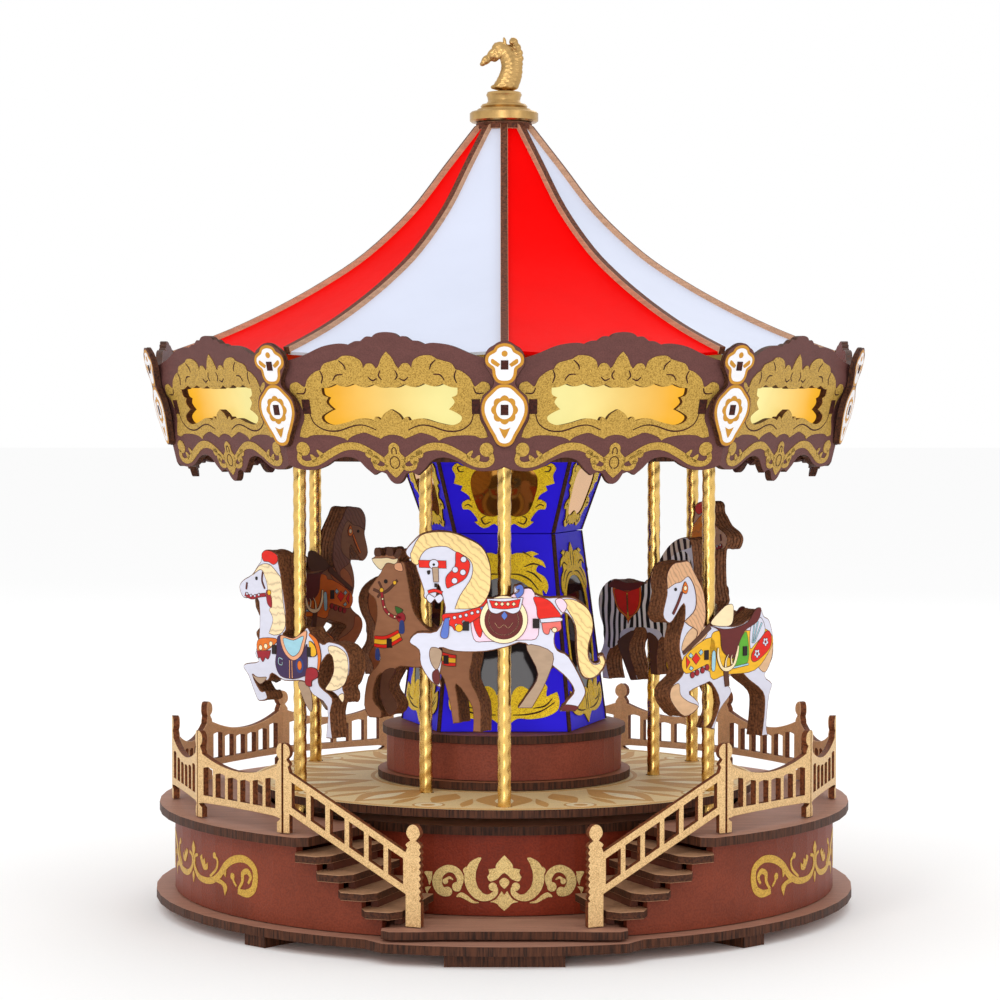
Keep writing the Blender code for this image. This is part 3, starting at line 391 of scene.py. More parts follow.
class Piece:
    """One visible piece, gathered from drawn boards and turned bodies."""

    def __init__(self, name, body, slot):
        self.name = name
        self.body = body
        self.slot = slot
        self.mesh = bmesh.new()
        self.finishes = []

    def index(self, finish):
        if finish not in self.finishes:
            self.finishes.append(finish)
        return self.finishes.index(finish)

    def add(self, mesh, finish, edge=None, place=None, back=None):
        """Faces along z get the finish or the back's, and the board's edges get the edge."""
        mesh.normal_update()
        flat = self.index(finish)
        side = self.index(edge or finish)
        behind = self.index(back or finish)
        for face in mesh.faces:
            if abs(face.normal.z) < LEVEL:
                face.material_index = side
            else:
                face.material_index = flat if face.normal.z > 0 else behind
        if place:
            for vert in mesh.verts:
                vert.co = place(*vert.co)
        copy = bpy.data.meshes.new("gathered")
        mesh.to_mesh(copy)
        mesh.free()
        self.mesh.from_mesh(copy)
        bpy.data.meshes.remove(copy)
        return self

    def print_on(self, loops, finish, depth, place, thick=0.12, step=None):
        """Thin painted or gilded shapes, rooted a little inside the face they are on."""
        for path in loops:
            mesh = board([path], depth - 0.02, depth + thick)
            if step:
                sliced(mesh, step)
            self.add(mesh, finish, None, place)
        return self

    def done(self, *replaced):
        bmesh.ops.scale(self.mesh, verts=self.mesh.verts[:], vec=(MM, MM, MM))
        bmesh.ops.recalc_face_normals(self.mesh, faces=self.mesh.faces[:])
        data = bpy.data.meshes.new(self.name)
        self.mesh.to_mesh(data)
        self.mesh.free()
        data.shade_smooth()
        data.set_sharp_from_angle(angle=math.radians(32))
        for finish in self.finishes:
            data.materials.append(finish)
        made = bpy.data.objects.new(self.name, data)
        bpy.context.scene.collection.objects.link(made)
        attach(made, self.body)
        if replaced:
            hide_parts(*replaced)
        return made


# ---------------------------------------------------------------- materials

def rgb(*values):
    """Linear colour from red, green and blue as a screen gives them, 0 to 255."""
    linear = []
    for value in values:
        share = value / 255.0
        linear.append(share / 12.92 if share <= 0.04 else ((share + 0.055) / 1.055) ** 2.4)
    return (*linear, 1.0)


class Nodes:
    """Short names for building a node tree. A single scale counts for all three directions."""

    def __init__(self, name):
        self.material = bpy.data.materials.new(name)
        self.material.use_nodes = True
        self.tree = self.material.node_tree
        self.shader = self.tree.nodes["Principled BSDF"]
        self.where = self.node("TexCoord").outputs["Object"]

    def node(self, kind, **values):
        """New node with these values on its inputs; an underscore stands for a space."""
        made = self.tree.nodes.new("ShaderNode" + kind)
        for socket, value in values.items():
            made.inputs[socket.replace("_", " ")].default_value = value
        return made

    def link(self, one, two):
        self.tree.links.new(one, two)

    def mapped(self, node, scale):
        """Give a texture node the object's own coordinates, scaled."""
        scale = scale if isinstance(scale, tuple) else (scale,) * 3
        mapping = self.node("Mapping", Scale=scale)
        self.link(self.where, mapping.inputs["Vector"])
        self.link(mapping.outputs["Vector"], node.inputs["Vector"])
        return node.outputs

    def noise(self, scale, detail=3.0):
        return self.mapped(self.node("TexNoise", Scale=1.0, Detail=detail), scale)["Fac"]

    def cells(self, scale):
        return self.mapped(self.node("TexVoronoi", Scale=1.0), scale)["Color"]

    def waves(self, direction, source, **values):
        node = self.node("TexWave", **values)
        node.bands_direction = direction
        self.link(source, node.inputs["Vector"])
        return node.outputs["Fac"]

    def ramp(self, value, stops):
        node = self.node("ValToRGB")
        ends = node.color_ramp.elements
        while len(ends) < len(stops):
            ends.new(0.5)
        for end, (place, colour) in zip(ends, stops):
            end.position = place
            end.color = colour
        self.link(value, node.inputs["Fac"])
        return node.outputs["Color"]

    def mix(self, share, one, two, blend="MIX"):
        node = self.node("Mix")
        node.data_type = "RGBA"
        node.blend_type = blend
        factor, first, second = node.inputs["Factor"], node.inputs[6], node.inputs[7]
        for value, socket in ((share, factor), (one, first), (two, second)):
            if isinstance(value, (float, tuple)):
                socket.default_value = value
            else:
                self.link(value, socket)
        return node.outputs[2]

    def darkened(self, face, share, height, stops):
        """The face with a ramp of the height multiplied into it."""
        return self.mix(share, face, self.ramp(height, stops), "MULTIPLY")

    def upness(self):
        """1 where the face looks up or down, 0 on a board's edge."""
        parts = self.node("SeparateXYZ")
        self.link(self.node("NewGeometry").outputs["Normal"], parts.inputs[0])
        size = self.node("Math")
        size.operation = "ABSOLUTE"
        self.link(parts.outputs["Z"], size.inputs[0])
        test = self.node("Math")
        test.operation = "GREATER_THAN"
        test.inputs[1].default_value = LEVEL
        self.link(size.outputs[0], test.inputs[0])
        return test.outputs[0]

    def finish(self, colour, rough, height, bump, metal=0.0, specular=0.2):
        """Colour by a socket, roughness between two values by the same height as the bump."""
        self.link(colour, self.shader.inputs["Base Color"])
        spread = self.node("MapRange", To_Min=rough[0], To_Max=rough[1])
        self.link(height, spread.inputs["Value"])
        self.link(spread.outputs["Result"], self.shader.inputs["Roughness"])
        node = self.node("Bump", Strength=bump, Distance=0.0002)
        self.link(height, node.inputs["Height"])
        self.link(node.outputs["Normal"], self.shader.inputs["Normal"])
        self.shader.inputs["Metallic"].default_value = metal
        self.shader.inputs["Specular IOR Level"].default_value = specular if metal < 0.9 else 0.5
        return self.material


def shaded(colour, share):
    return tuple(value * share for value in colour[:3]) + (1.0,)


def mottled(nodes, scale, detail, colour, spread, ends=(0.3, 0.7)):
    """The colour with soft patches of a darker shade."""
    patches = nodes.noise(scale, detail)
    return nodes.ramp(patches, [(ends[0], shaded(colour, spread)), (ends[1], colour)])


WHITE = (1.0, 1.0, 1.0, 1.0)
EDGE = rgb(70, 38, 22)
SMALL_GRAIN = (500.0, 500.0, 900.0)


def plywood(name, colour, stretch=(70.0, 900.0, 900.0), edges=True, spread=0.72):
    """Stained plywood: stretched grain, fine pores, and laser-burnt edges on flat boards."""
    nodes = Nodes(name)
    face = mottled(nodes, stretch, 5.0, colour, spread)
    pores = nodes.noise(2600.0, 2.0)
    face = nodes.darkened(face, 0.35, pores, [(0.35, (0.45, 0.4, 0.38, 1)), (0.62, WHITE)])
    if edges:
        hatch = nodes.noise((1500.0, 1500.0, 120.0))
        side = nodes.ramp(hatch, [(0.35, shaded(EDGE, 0.35)), (0.6, shaded(EDGE, 1.4))])
        face = nodes.mix(nodes.upness(), side, face)
    return nodes.finish(face, (0.45, 0.7), pores, 0.35)


def burnt(name, colour=EDGE):
    """Laser-cut edge: dark char with thin lighter plies."""
    nodes = Nodes(name)
    hatch = nodes.noise(1300.0)
    face = nodes.ramp(hatch, [(0.35, shaded(colour, 0.45)), (0.62, shaded(colour, 1.3))])
    return nodes.finish(face, (0.55, 0.8), hatch, 0.4)


def paint(name, colour, spread=0.86):
    """Printed colour on wood: slight mottling over the grain."""
    nodes = Nodes(name)
    face = mottled(nodes, (260.0, 260.0, 700.0), 4.0, colour, spread, (0.3, 0.68))
    return nodes.finish(face, (0.4, 0.55), nodes.noise((3000.0, 3000.0, 1500.0), 2.0), 0.15)


def glitter(name, light, dark, metal):
    """Gold print of fine flakes, each a darker or brighter gold at random: painted shade and
    painted glints for flakes that miss or catch the light.
    """
    nodes = Nodes(name)
    flakes = nodes.cells(3600.0)
    # dark flakes are painted shade, the brightest ones painted glints
    face = nodes.ramp(flakes, [(0.1, dark), (0.5, light), (0.95, shaded(light, 1.25))])
    return nodes.finish(face, (0.35, 0.6), flakes, 0.35, metal)


def leather(name, colour):
    """Pebbled leather cloth with soft blotches."""
    nodes = Nodes(name)
    pebble = nodes.noise(1700.0, 2.0)
    face = mottled(nodes, (45.0, 45.0, 60.0), 4.0, colour, 0.74)
    face = nodes.darkened(face, 0.5, pebble, [(0.38, (0.55, 0.5, 0.5, 1)), (0.6, WHITE)])
    return nodes.finish(face, (0.4, 0.62), pebble, 0.8)


def metal(name, colour, rough=(0.22, 0.4), spread=0.7):
    """Cast or turned metal with faint tarnish."""
    nodes = Nodes(name)
    face = mottled(nodes, 220.0, 5.0, colour, spread, (0.3, 0.65))
    return nodes.finish(face, rough, nodes.noise(900.0), 0.12, 1.0)


def mirror(name, colour, share):
    """Polished acrylic mirror; the share is how metallic it looks, and darker patches of its
    colour are painted reflection.
    """
    nodes = Nodes(name)
    haze_and_reflection = nodes.noise(24.0, 2.0)
    face = nodes.ramp(haze_and_reflection, [(0.35, shaded(colour, 0.8)), (0.65, colour)])
    return nodes.finish(face, (0.03, 0.07), haze_and_reflection, 0.01, share)


def lacquer(name, colour, rough=(0.5, 0.62), spread=0.85, specular=0.2):
    """Lacquered or moulded plastic with faint orange peel."""
    nodes = Nodes(name)
    face = mottled(nodes, 35.0, 3.0, colour, spread)
    return nodes.finish(face, rough, nodes.noise(420.0), 0.06, specular=specular)


def glowing(name):
    """Lit diffuser; its colour comes from the vertices, cream to amber."""
    nodes = Nodes(name)
    tint = nodes.node("VertexColor")
    tint.layer_name = "Glow"
    colour = nodes.darkened(tint.outputs["Color"], 1.0, nodes.noise(60.0),
                            [(0.25, (0.9, 0.88, 0.84, 1)), (0.7, WHITE)])
    nodes.link(colour, nodes.shader.inputs["Emission Color"])
    nodes.shader.inputs["Emission Strength"].default_value = 0.95
    nodes.link(nodes.mix(1.0, colour, (0.05, 0.05, 0.05, 1.0), "MULTIPLY"),
               nodes.shader.inputs["Base Color"])
    nodes.shader.inputs["Roughness"].default_value = 0.6
    return nodes.material


def hair(name, colour):
    """Painted mane: fine wavy locks."""
    nodes = Nodes(name)
    locks = nodes.waves("DIAGONAL", nodes.where, Scale=240.0, Distortion=5.0, Detail=2.0,
                        Detail_Scale=1.4)
    face = nodes.ramp(locks, [(0.02, shaded(colour, 0.7)), (0.16, shaded(colour, 0.9)),
                              (0.7, colour)])
    return nodes.finish(face, (0.45, 0.6), locks, 0.3)


def striped(name, pale, dark, turn):
    """Zebra stripes across the body, whose length lies at this turn about Z."""
    nodes = Nodes(name)
    mapping = nodes.node("Mapping", Rotation=(0.0, 0.0, math.radians(turn)))
    mapping.vector_type = "TEXTURE"
    nodes.link(nodes.where, mapping.inputs["Vector"])
    bands = nodes.waves("X", mapping.outputs["Vector"], Scale=95.0, Distortion=7.0, Detail=1.5,
                        Detail_Scale=0.7)
    face = nodes.ramp(bands, [(0.44, dark), (0.54, pale)])
    return nodes.finish(face, (0.45, 0.6), nodes.noise(3000.0, 2.0), 0.15)


PLATE_WOOD = plywood("plate_wood", rgb(184, 134, 112))
STAIR_WOOD = plywood("stair_wood", rgb(184, 140, 106), SMALL_GRAIN, False)
RISER_WOOD = plywood("riser_wood", rgb(96, 50, 34), SMALL_GRAIN, False)
DRUM_WOOD = plywood("drum_wood", rgb(186, 120, 86))
CEILING_WOOD = plywood("ceiling_wood", rgb(96, 58, 48))
DECK_WOOD = plywood("deck_wood", rgb(250, 222, 166), spread=0.9)
TAN_INLAY = plywood("tan_inlay", rgb(222, 170, 102), edges=False, spread=0.9)
PALE_INLAY = plywood("pale_inlay", rgb(255, 238, 196), edges=False, spread=0.94)
WALL_LEATHER = leather("wall_leather", rgb(134, 60, 38))
DRUM_LEATHER = leather("drum_leather", rgb(146, 70, 50))
INNER_LEATHER = leather("inner_leather", rgb(140, 50, 26))
CHAR = burnt("char")
CORNICE_FACE = plywood("cornice_face", rgb(104, 64, 60), (260.0, 260.0, 600.0), False, 0.86)
CORNICE_SLOT = burnt("cornice_slot", rgb(62, 26, 18))
GOLD_PRINT = glitter("gold_print", rgb(184, 148, 70), rgb(140, 106, 40), 0.3)
PALE_GOLD = glitter("pale_gold", rgb(232, 204, 138), rgb(196, 156, 90), 0.25)
WALL_GOLD = glitter("wall_gold", rgb(200, 160, 70), rgb(164, 122, 42), 0.3)
TOWER_GOLD = glitter("tower_gold", rgb(250, 214, 40), rgb(206, 156, 14), 0.15)
OCHRE = paint("ochre", rgb(196, 138, 44))
MEDALLION_WHITE = paint("medallion_white", rgb(232, 230, 232), 0.94)
RAIL_FACE = glitter("rail_face", rgb(216, 180, 128), rgb(184, 144, 92), 0.12)
RAIL_EDGE = burnt("rail_edge", rgb(112, 60, 32))
# Inner faces of the rails: pale plywood, made brighter than the wood itself as painted light, to
# make up for the shade they sit in under the canopy.
RAIL_BACK_PAINTED_LIGHT = plywood("rail_back_painted_light", rgb(255, 206, 156), (300.0, 300.0, 800.0), False, 0.9)
BLUE = lacquer("tower_lacquer", rgb(50, 30, 255), (0.4, 0.5), 0.9, 0.08)
# Upper mirror plates: their amber tint is a painted reflection of the warm lit things round the
# tower.
MIRROR = mirror("mirror_plate_painted_reflection", rgb(214, 150, 66), 0.9)
DARK_MIRROR = mirror("dark_mirror", rgb(36, 30, 32), 0.1)
ROOF_RED = lacquer("roof_red", rgb(236, 0, 0), spread=0.92, specular=0.03)
ROOF_WHITE = lacquer("roof_white", rgb(208, 214, 232), spread=0.96)
RIB_FACE = plywood("rib_face", rgb(206, 160, 128), (120.0, 120.0, 1200.0), False)
RIB_EDGE = burnt("rib_edge", rgb(98, 54, 36))
FINIAL_GOLD = metal("finial_gold", rgb(196, 158, 100), (0.25, 0.42))
POLE_GOLD = metal("pole_gold", rgb(236, 194, 112), (0.2, 0.34), 0.82)
BRASS = metal("brass", rgb(214, 176, 96))
STEEL = metal("steel", rgb(168, 168, 172))
BLACK = lacquer("black_plastic", rgb(26, 26, 28), (0.35, 0.5))
GLOW = glowing("glow")

# Paints of the riders: red, green and blue, and how dark the mottling is where it isn't usual
PRINTS = {
    "white": (216, 216, 230, 0.95), "cream": (252, 230, 184, 0.92), "tan": (226, 184, 142),
    "taupe": (178, 150, 124), "brown": (160, 108, 76), "chestnut": (178, 108, 66),
    "umber": (92, 56, 38), "black": (38, 26, 24), "maroon": (104, 38, 36), "red": (226, 36, 22),
    "crimson": (160, 34, 44), "pink": (242, 208, 224, 0.94), "coral": (236, 116, 106),
    "blue": (92, 118, 198), "fawn": (206, 164, 138), "orange": (228, 116, 32),
    "peach": (238, 170, 128), "yellow": (244, 186, 40), "green": (96, 176, 52),
    "forest": (58, 106, 44), "sky": (164, 212, 226), "navy": (52, 66, 128),
    "purple": (66, 46, 84), "grey": (150, 140, 134), "dun": (150, 104, 74), "line": (84, 44, 34)}
HAIRS = {"blond_hair": (250, 214, 146), "cream_hair": (250, 224, 178),
         "ginger_hair": (240, 140, 34), "tan_hair": (222, 172, 130), "brown_hair": (132, 90, 76)}
ZEBRA_TURN = 123.0
PAINTS = {name: paint("paint_" + name, rgb(*values[:3]), *values[3:])
          for name, values in PRINTS.items()}
PAINTS.update({name: hair(name, rgb(*values)) for name, values in HAIRS.items()})
PAINTS["stripes"] = striped("zebra_stripes", rgb(240, 236, 234), rgb(24, 18, 20), ZEBRA_TURN)
PAINTS["bristles"] = striped("zebra_bristles", rgb(214, 196, 180), rgb(40, 28, 28), ZEBRA_TURN)
PAINTS["edge"] = burnt("rider_edge", rgb(118, 74, 46))
FINE = ("black", "stripes", "bristles", "navy")      # drawn without a dark line round them


# ---------------------------------------------------------------- CAD parts that stay

def repaint():
    """Give each CAD part that stays visible its finish."""
    names = {
        PLATE_WOOD: ["base_plate", "terrace_board", "stage_ring", "mechanism_cover", "landing",
                     "outer_cam", "inner_cam"],
        WALL_LEATHER: ["base_wall"], INNER_LEATHER: ["inner_wall"], DRUM_LEATHER: ["drum_wall"],
        DRUM_WOOD: ["drum_flange", "drum_top"], DECK_WOOD: ["deck"],
        BLUE: ["tower_lower", "tower_upper"], CEILING_WOOD: ["ceiling_board"],
        BLACK: ["battery_box", "light_switch"],
        STEEL: ["movement_bedplate", "music_comb", "governor", "turntable_shaft"],
        BRASS: ["music_cylinder", "spring_barrel", "winding_key"]}
    names[PLATE_WOOD] += [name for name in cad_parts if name.startswith("foot_")]
    for finish, painted in names.items():
        for name in painted:
            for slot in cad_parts[name].material_slots:
                slot.material = finish


# ---------------------------------------------------------------- base

def wall_ornament():
    """Acanthus scroll: two long vines that curl away from a small centre drop."""
    vine = [
        (4.0, 3.4), (1.2, 2.4), (1.2, -0.9), (5.5, -3.6), (13.5, -3.6), (19.4, -1.2), (23.6, 2.6),
        (28.5, 5.1), (34.0, 5.8), (38.2, 3.9), (39.2, 0.8), (38.2, -3.0), (34.9, -4.8),
        (30.4, -4.6)]
    curl = [(30.9, -3.8), (32.8, -1.2), (33.0, 1.2), (35.3, 2.2), (36.9, 0.6), (35.7, -1.6)]
    side = [
        stroke(vine, (0.9, 1.3, 1.7, 2.0, 2.2, 2.4, 2.4, 2.2, 2.2, 2.4, 2.6, 1.6)),
        stroke(curl, (0.9, 1.2, 1.6, 1.8, 1.3, 0.8)), circle(27.5, -0.3, 1.1),
        stroke([(27.5, -0.3), (28.2, -1.8), (29.6, -3.2)], (0.7, 0.9, 0.7)),
        circle(16.6, 4.9, 1.0),
        stroke([(17.0, 4.6), (18.6, 3.4), (17.7, 0.6), (13.5, -2.2)], (0.8, 1.0, 0.9)),
        loop([
            (6.0, 3.0), (7.5, 0.8), (9.0, -0.6), (11.6, -0.2), (11.8, 2.0, 1), (10.2, 1.2),
            (9.6, 3.2, 1), (8.2, 2.4), (7.6, 4.0, 1)]),
        loop([(17.7, -3.3), (21.6, -4.0), (23.1, -7.0, 1), (24.4, -3.9), (20.5, -2.2)]),
        loop([(21.4, 0.4, 1), (23.6, -1.1, 1), (24.2, 2.4, 1)])]
    drop = symmetric([(0, -2.2, 1), (1.0, -3.6), (0, -6.0, 1)])
    return paired(side) + [drop, symmetric([(0, 7.4, 1), (1.5, 5.0), (0, 2.0, 1)])]


def front_ornament():
    """Palmette between two leaf horns and two C-scrolls."""
    loops = [
        symmetric([
            (0, 8.3, 1), (2.4, 5.6), (2.7, 4.2, 1), (5.0, 3.8, 1), (4.7, 2.6), (5.4, 1.4, 1),
            (4.6, 0.1), (3.3, 0.3), (2.0, 1.0), (1.2, 1.9), (0, 2.7)]),
        symmetric([(0, 1.2), (1.5, 0.2), (1.2, -1.1), (0, -2.3, 1)]),
        symmetric([
            (0, -4.2, 1), (0.9, -3.0, 1), (1.6, -4.2), (2.7, -5.6), (4.4, -6.4, 1), (2.4, -6.9),
            (1.5, -7.9), (0, -9.2, 1)])]
    horn = [
        (7.3, 7.4), (9.3, 5.6), (10.6, 3.0), (10.7, 0.0), (9.6, -2.8), (7.3, -4.8), (4.8, -5.0),
        (2.9, -3.6), (2.8, -1.9)]
    sides = [
        stroke(horn, (0.4, 2.8, 3.6, 3.5, 3.0, 2.0, 1.7, 1.4)), circle(3.6, -1.6, 1.3),
        loop([(8.0, 7.6, 1), (9.2, 6.8), (8.6, 5.2, 1)]),
        loop([(12.0, 4.6, 1), (13.0, 3.4), (12.0, 1.2, 1)]),
        stroke([(15.1, -5.0), (13.6, -4.4), (11.9, -5.2), (10.0, -6.4), (8.0, -6.7)],
               (0.3, 1.6, 1.4, 0.9, 0.2))]
    volute = [
        (14.2, -1.4), (13.9, 1.0), (15.4, 3.2), (18.0, 3.7), (20.6, 2.0), (21.4, -0.8),
        (20.2, -3.2), (18.0, -3.9)]
    sides += [
        stroke(volute, (1.7, 2.4, 2.2, 2.5, 3.2, 3.0, 2.4)), circle(15.0, -1.9, 1.5),
        circle(18.0, -3.5, 1.5), circle(18.7, -0.3, 0.9),
        stroke([(18.7, 0.2), (17.4, 0.9), (16.2, 0.3)], (0.9, 0.8, 0.3)),
        loop([(23.0, 2.6, 1), (25.6, 2.4), (24.6, 0.4), (24.0, -1.8, 1), (23.2, 0.2)]),
        loop([(23.4, -2.2, 1), (25.4, -2.6), (24.6, -4.8, 1), (24.4, -3.6)])]
    return loops + paired(sides)


def make_base():
    middle = (low("base_wall").z + high("base_wall").z) / 2
    vines = raised(wall_ornament(), middle)
    for name, angle in WALL_SCROLLS.items():
        piece = Piece("wall_scroll_" + name, "base", "gold")
        piece.print_on(vines, WALL_GOLD, 0, on_wall(WALL_RADIUS, angle), step=ORNAMENT_SLICE)
        piece.done()
    piece = Piece("front_ornament", "base", "gold")
    piece.print_on(raised(front_ornament(), FRONT_ORNAMENT_HEIGHT), PALE_GOLD, 0,
                   on_wall(INNER_WALL_RADIUS, 0), step=ORNAMENT_SLICE)
    piece.done()


def make_stairs():
    """Separate treads with pointed outer ends, on set-back risers."""
    rise = (TERRACE_TOP - LANDING_TOP) / (TREADS + 1)
    inner, shoulder, tip = TREAD_RADII
    for name, side in HANDS:
        risers = Piece("stair_risers_" + name, "base", "board_brown")
        for step in range(TREADS):
            top = TERRACE_TOP - (step + 1) * rise
            first = TREAD_FIRST_ANGLE - step * TREAD_PITCH_ANGLE
            last = first - TREAD_WIDTH_ANGLE
            corners = ((inner, first), (shoulder, first), (tip, first - TREAD_TAPER),
                       (tip, last + TREAD_TAPER), (shoulder, last), (inner, last))
            outline = [polar(radius, side * angle) for radius, angle in corners]
            tread = Piece(f"tread_{name}_{step + 1}", "base", "board_brown")
            tread.add(board([outline], top - TREAD_THICKNESS, top, 0.15), STAIR_WOOD, CHAR)
            tread.done("stairs_" + name)
            near, far = RISER_RADII
            back, face = [side * (last + angle) for angle in RISER_ANGLES]
            outline = [polar(near, back), polar(far, back), polar(far, face), polar(near, face)]
            foot = max(top - rise, LANDING_TOP + FOOT_GAP)
            risers.add(board([outline], foot, top - TREAD_THICKNESS), RISER_WOOD)
        risers.done("stairs_" + name)


# ---------------------------------------------------------------- fence and rails

def beads(x, bottom, top):
    """Scalloped upright edge from bottom to top, bulging out to x."""
    count = max(1, round((top - bottom) / BEAD_PITCH))
    height = (top - bottom) / count
    points = []
    for step in range(count):
        start = bottom + (top - bottom) * step / count
        points += [(x - BEAD_DEPTH, start, 1), (x, start + height / 2)]
    return points + [(x - BEAD_DEPTH, top, 1)]


def ball_top(x, height):
    """Right half of the small ball that ends a post, from its neck to its crown."""
    return [(x * 0.55, height - 4.9, 1), (x * 0.96, height - 3.9), (x * 1.08, height - 2.5),
            (x * 0.86, height - 0.9), (x * 0.35, height - 0.05)]


def rail_height(share):
    """Top of a panel's concave rail at a share of its width."""
    return RAIL_TOP + RAIL_SWEEP * (2 * share - 1) ** 2


def fence_loops(width):
    """One panel between two half posts, x from 0 to width."""
    post = beads(HALF_POST, 0.0, FENCE_HEIGHT - BALL_HEIGHT) + ball_top(HALF_POST, FENCE_HEIGHT)
    left = [(PANEL_GAP, FENCE_HEIGHT, 1)]
    left += [(max(x, PANEL_GAP), *rest) for x, *rest in post[::-1]]
    left = [point for point in left if point[1] > RAIL_TOP + 3.2]
    rail = []
    steps = 8
    for step in range(steps + 1):
        share = step / steps
        corner = (1,) if step in (0, steps) else ()
        x = HALF_POST + share * (width - 2 * HALF_POST)
        rail.append((x, rail_height(share) - 0.8, *corner))
    right = [(width - point[0], *point[1:]) for point in reversed(left)]
    bottom = FOOT_RAIL[0]
    foot = [(width - PANEL_GAP, 0.0, 1), (width - HALF_POST, 0.0, 1), (width - HALF_POST, 3.2, 1),
            (width - HALF_POST - 1.4, bottom), (HALF_POST + 1.4, bottom), (HALF_POST, 3.2, 1),
            (HALF_POST, 0.0, 1), (PANEL_GAP, 0.0, 1)]
    loops = [loop(left + rail + right + foot, 3)]
    for start, end in openings(HALF_POST, width - HALF_POST, FENCE_BAR):
        middle = (start + end) / 2
        head = rail_height(middle / width) - 3.1
        shoulder = head - 0.5
        loops.append(loop([(start, FOOT_RAIL[1], 1), (end, FOOT_RAIL[1], 1), (end, shoulder, 1),
                           (middle, head), (start, shoulder, 1)], 2))
    return loops


def openings(left, right, bar):
    """Ends of the openings between the bars, from one post to the other."""
    width = (right - left - 2 * OPENING_MARGIN - (OPENINGS - 1) * bar) / OPENINGS
    starts = [left + OPENING_MARGIN + index * (width + bar) for index in range(OPENINGS)]
    return [(start, start + width) for start in starts]


def make_fences():
    for name, side in HANDS:
        for panel in range(PANELS):
            first = polar(POST_RADIUS, side * (POST_ANGLE + panel * PANEL_ANGLE))
            last = polar(POST_RADIUS, side * (POST_ANGLE + (panel + 1) * PANEL_ANGLE))
            if side < 0:
                first, last = last, first
            loops = fence_loops((last - first).length)
            stand = lifted(upright(first, last), FENCE_FOOT)
            piece = Piece(f"fence_panel_{name}_{panel + 1}", "base", "rail_gold")
            # the inner faces get the pale plywood brightened as painted light
            piece.add(board(loops, -BOARD / 2, BOARD / 2, BOARD_BEVEL), RAIL_FACE, RAIL_EDGE,
                      stand, RAIL_BACK_PAINTED_LIGHT)
            piece.done(f"fence_{name}")


def handrail_loops(length):
    """Sloping rail from the terrace post at 0 down to the newel at length."""
    near = length - NEWEL_HALF
    far = length + NEWEL_HALF
    drop = (TERRACE_TOP + HANDRAIL_HIGH - HANDRAIL_LOW) / (near - HALF_POST)
    foot = LANDING_TOP + FOOT_GAP

    def top(x):
        return TERRACE_TOP + HANDRAIL_HIGH - drop * (x - HALF_POST)

    post = beads(HALF_POST, 20.4, FENCE_HEIGHT - BALL_HEIGHT) + ball_top(HALF_POST, FENCE_HEIGHT)
    edge = [(x, y + FENCE_FOOT, *rest) for x, y, *rest in post]
    outline = [(0.3, FENCE_FOOT, 1), (0.3, TERRACE_TOP + FENCE_HEIGHT, 1)] + edge[::-1]
    outline += [(HALF_POST, top(HALF_POST), 1), (near, top(near), 1)]
    neck = NEWEL_TOP - BALL_HEIGHT
    outline += [(2 * length - x, *rest) for x, *rest in beads(far, 34.0, neck)]
    ball = [(0.9, NEWEL_TOP - 4.9, 1), (2.3, NEWEL_TOP - 2.9), (1.6, NEWEL_TOP - 0.8),
            (0, NEWEL_TOP)]
    outline += [(length - x, *rest) for x, *rest in ball]
    outline += [(length + x, *rest) for x, *rest in ball[-2::-1]]
    outline += beads(far, 18.0, neck)[::-1]
    outline += [(far, 17.6, 1), (far, foot, 1), (near, foot, 1),
                (near, top(near) - HANDRAIL_DEPTH, 1),
                (HALF_POST, top(HALF_POST) - HANDRAIL_DEPTH, 1), (HALF_POST, FENCE_FOOT, 1)]
    loops = [loop(outline, 3)]
    for left, right in openings(HALF_POST, near, HANDRAIL_BAR):
        low_edge = HANDRAIL_RAIL - HANDRAIL_DEPTH
        loops.append([Vector((left, top(left) + low_edge)), Vector((right, top(right) + low_edge)),
                      Vector((right, top(right) - HANDRAIL_RAIL)),
                      Vector((left, top(left) - HANDRAIL_RAIL))])
    return loops


def make_handrails():
    for name, side in HANDS:
        first = polar(POST_RADIUS, side * POST_ANGLE)
        last = Vector((side * NEWEL[0], NEWEL[1]))
        loops = handrail_loops((last - first).length)
        piece = Piece("stair_rail_" + name, "base", "rail_gold")
        piece.add(board(loops, -BOARD / 2, BOARD / 2, BOARD_BEVEL), RAIL_FACE, RAIL_EDGE,
                  upright(first, last))
        piece.done("handrail_" + name)


# ---------------------------------------------------------------- deck and tower

def leaf(inner, outer, angle, half_angle, waist):
    """Leaf that points outwards on the deck; the waist is the share of its length to its
    widest place."""
    middle = inner + (outer - inner) * waist
    return loop([(*polar(inner, angle), 1), polar(middle, angle + half_angle),
                 (*polar(outer, angle), 1), polar(middle, angle - half_angle)], 6)


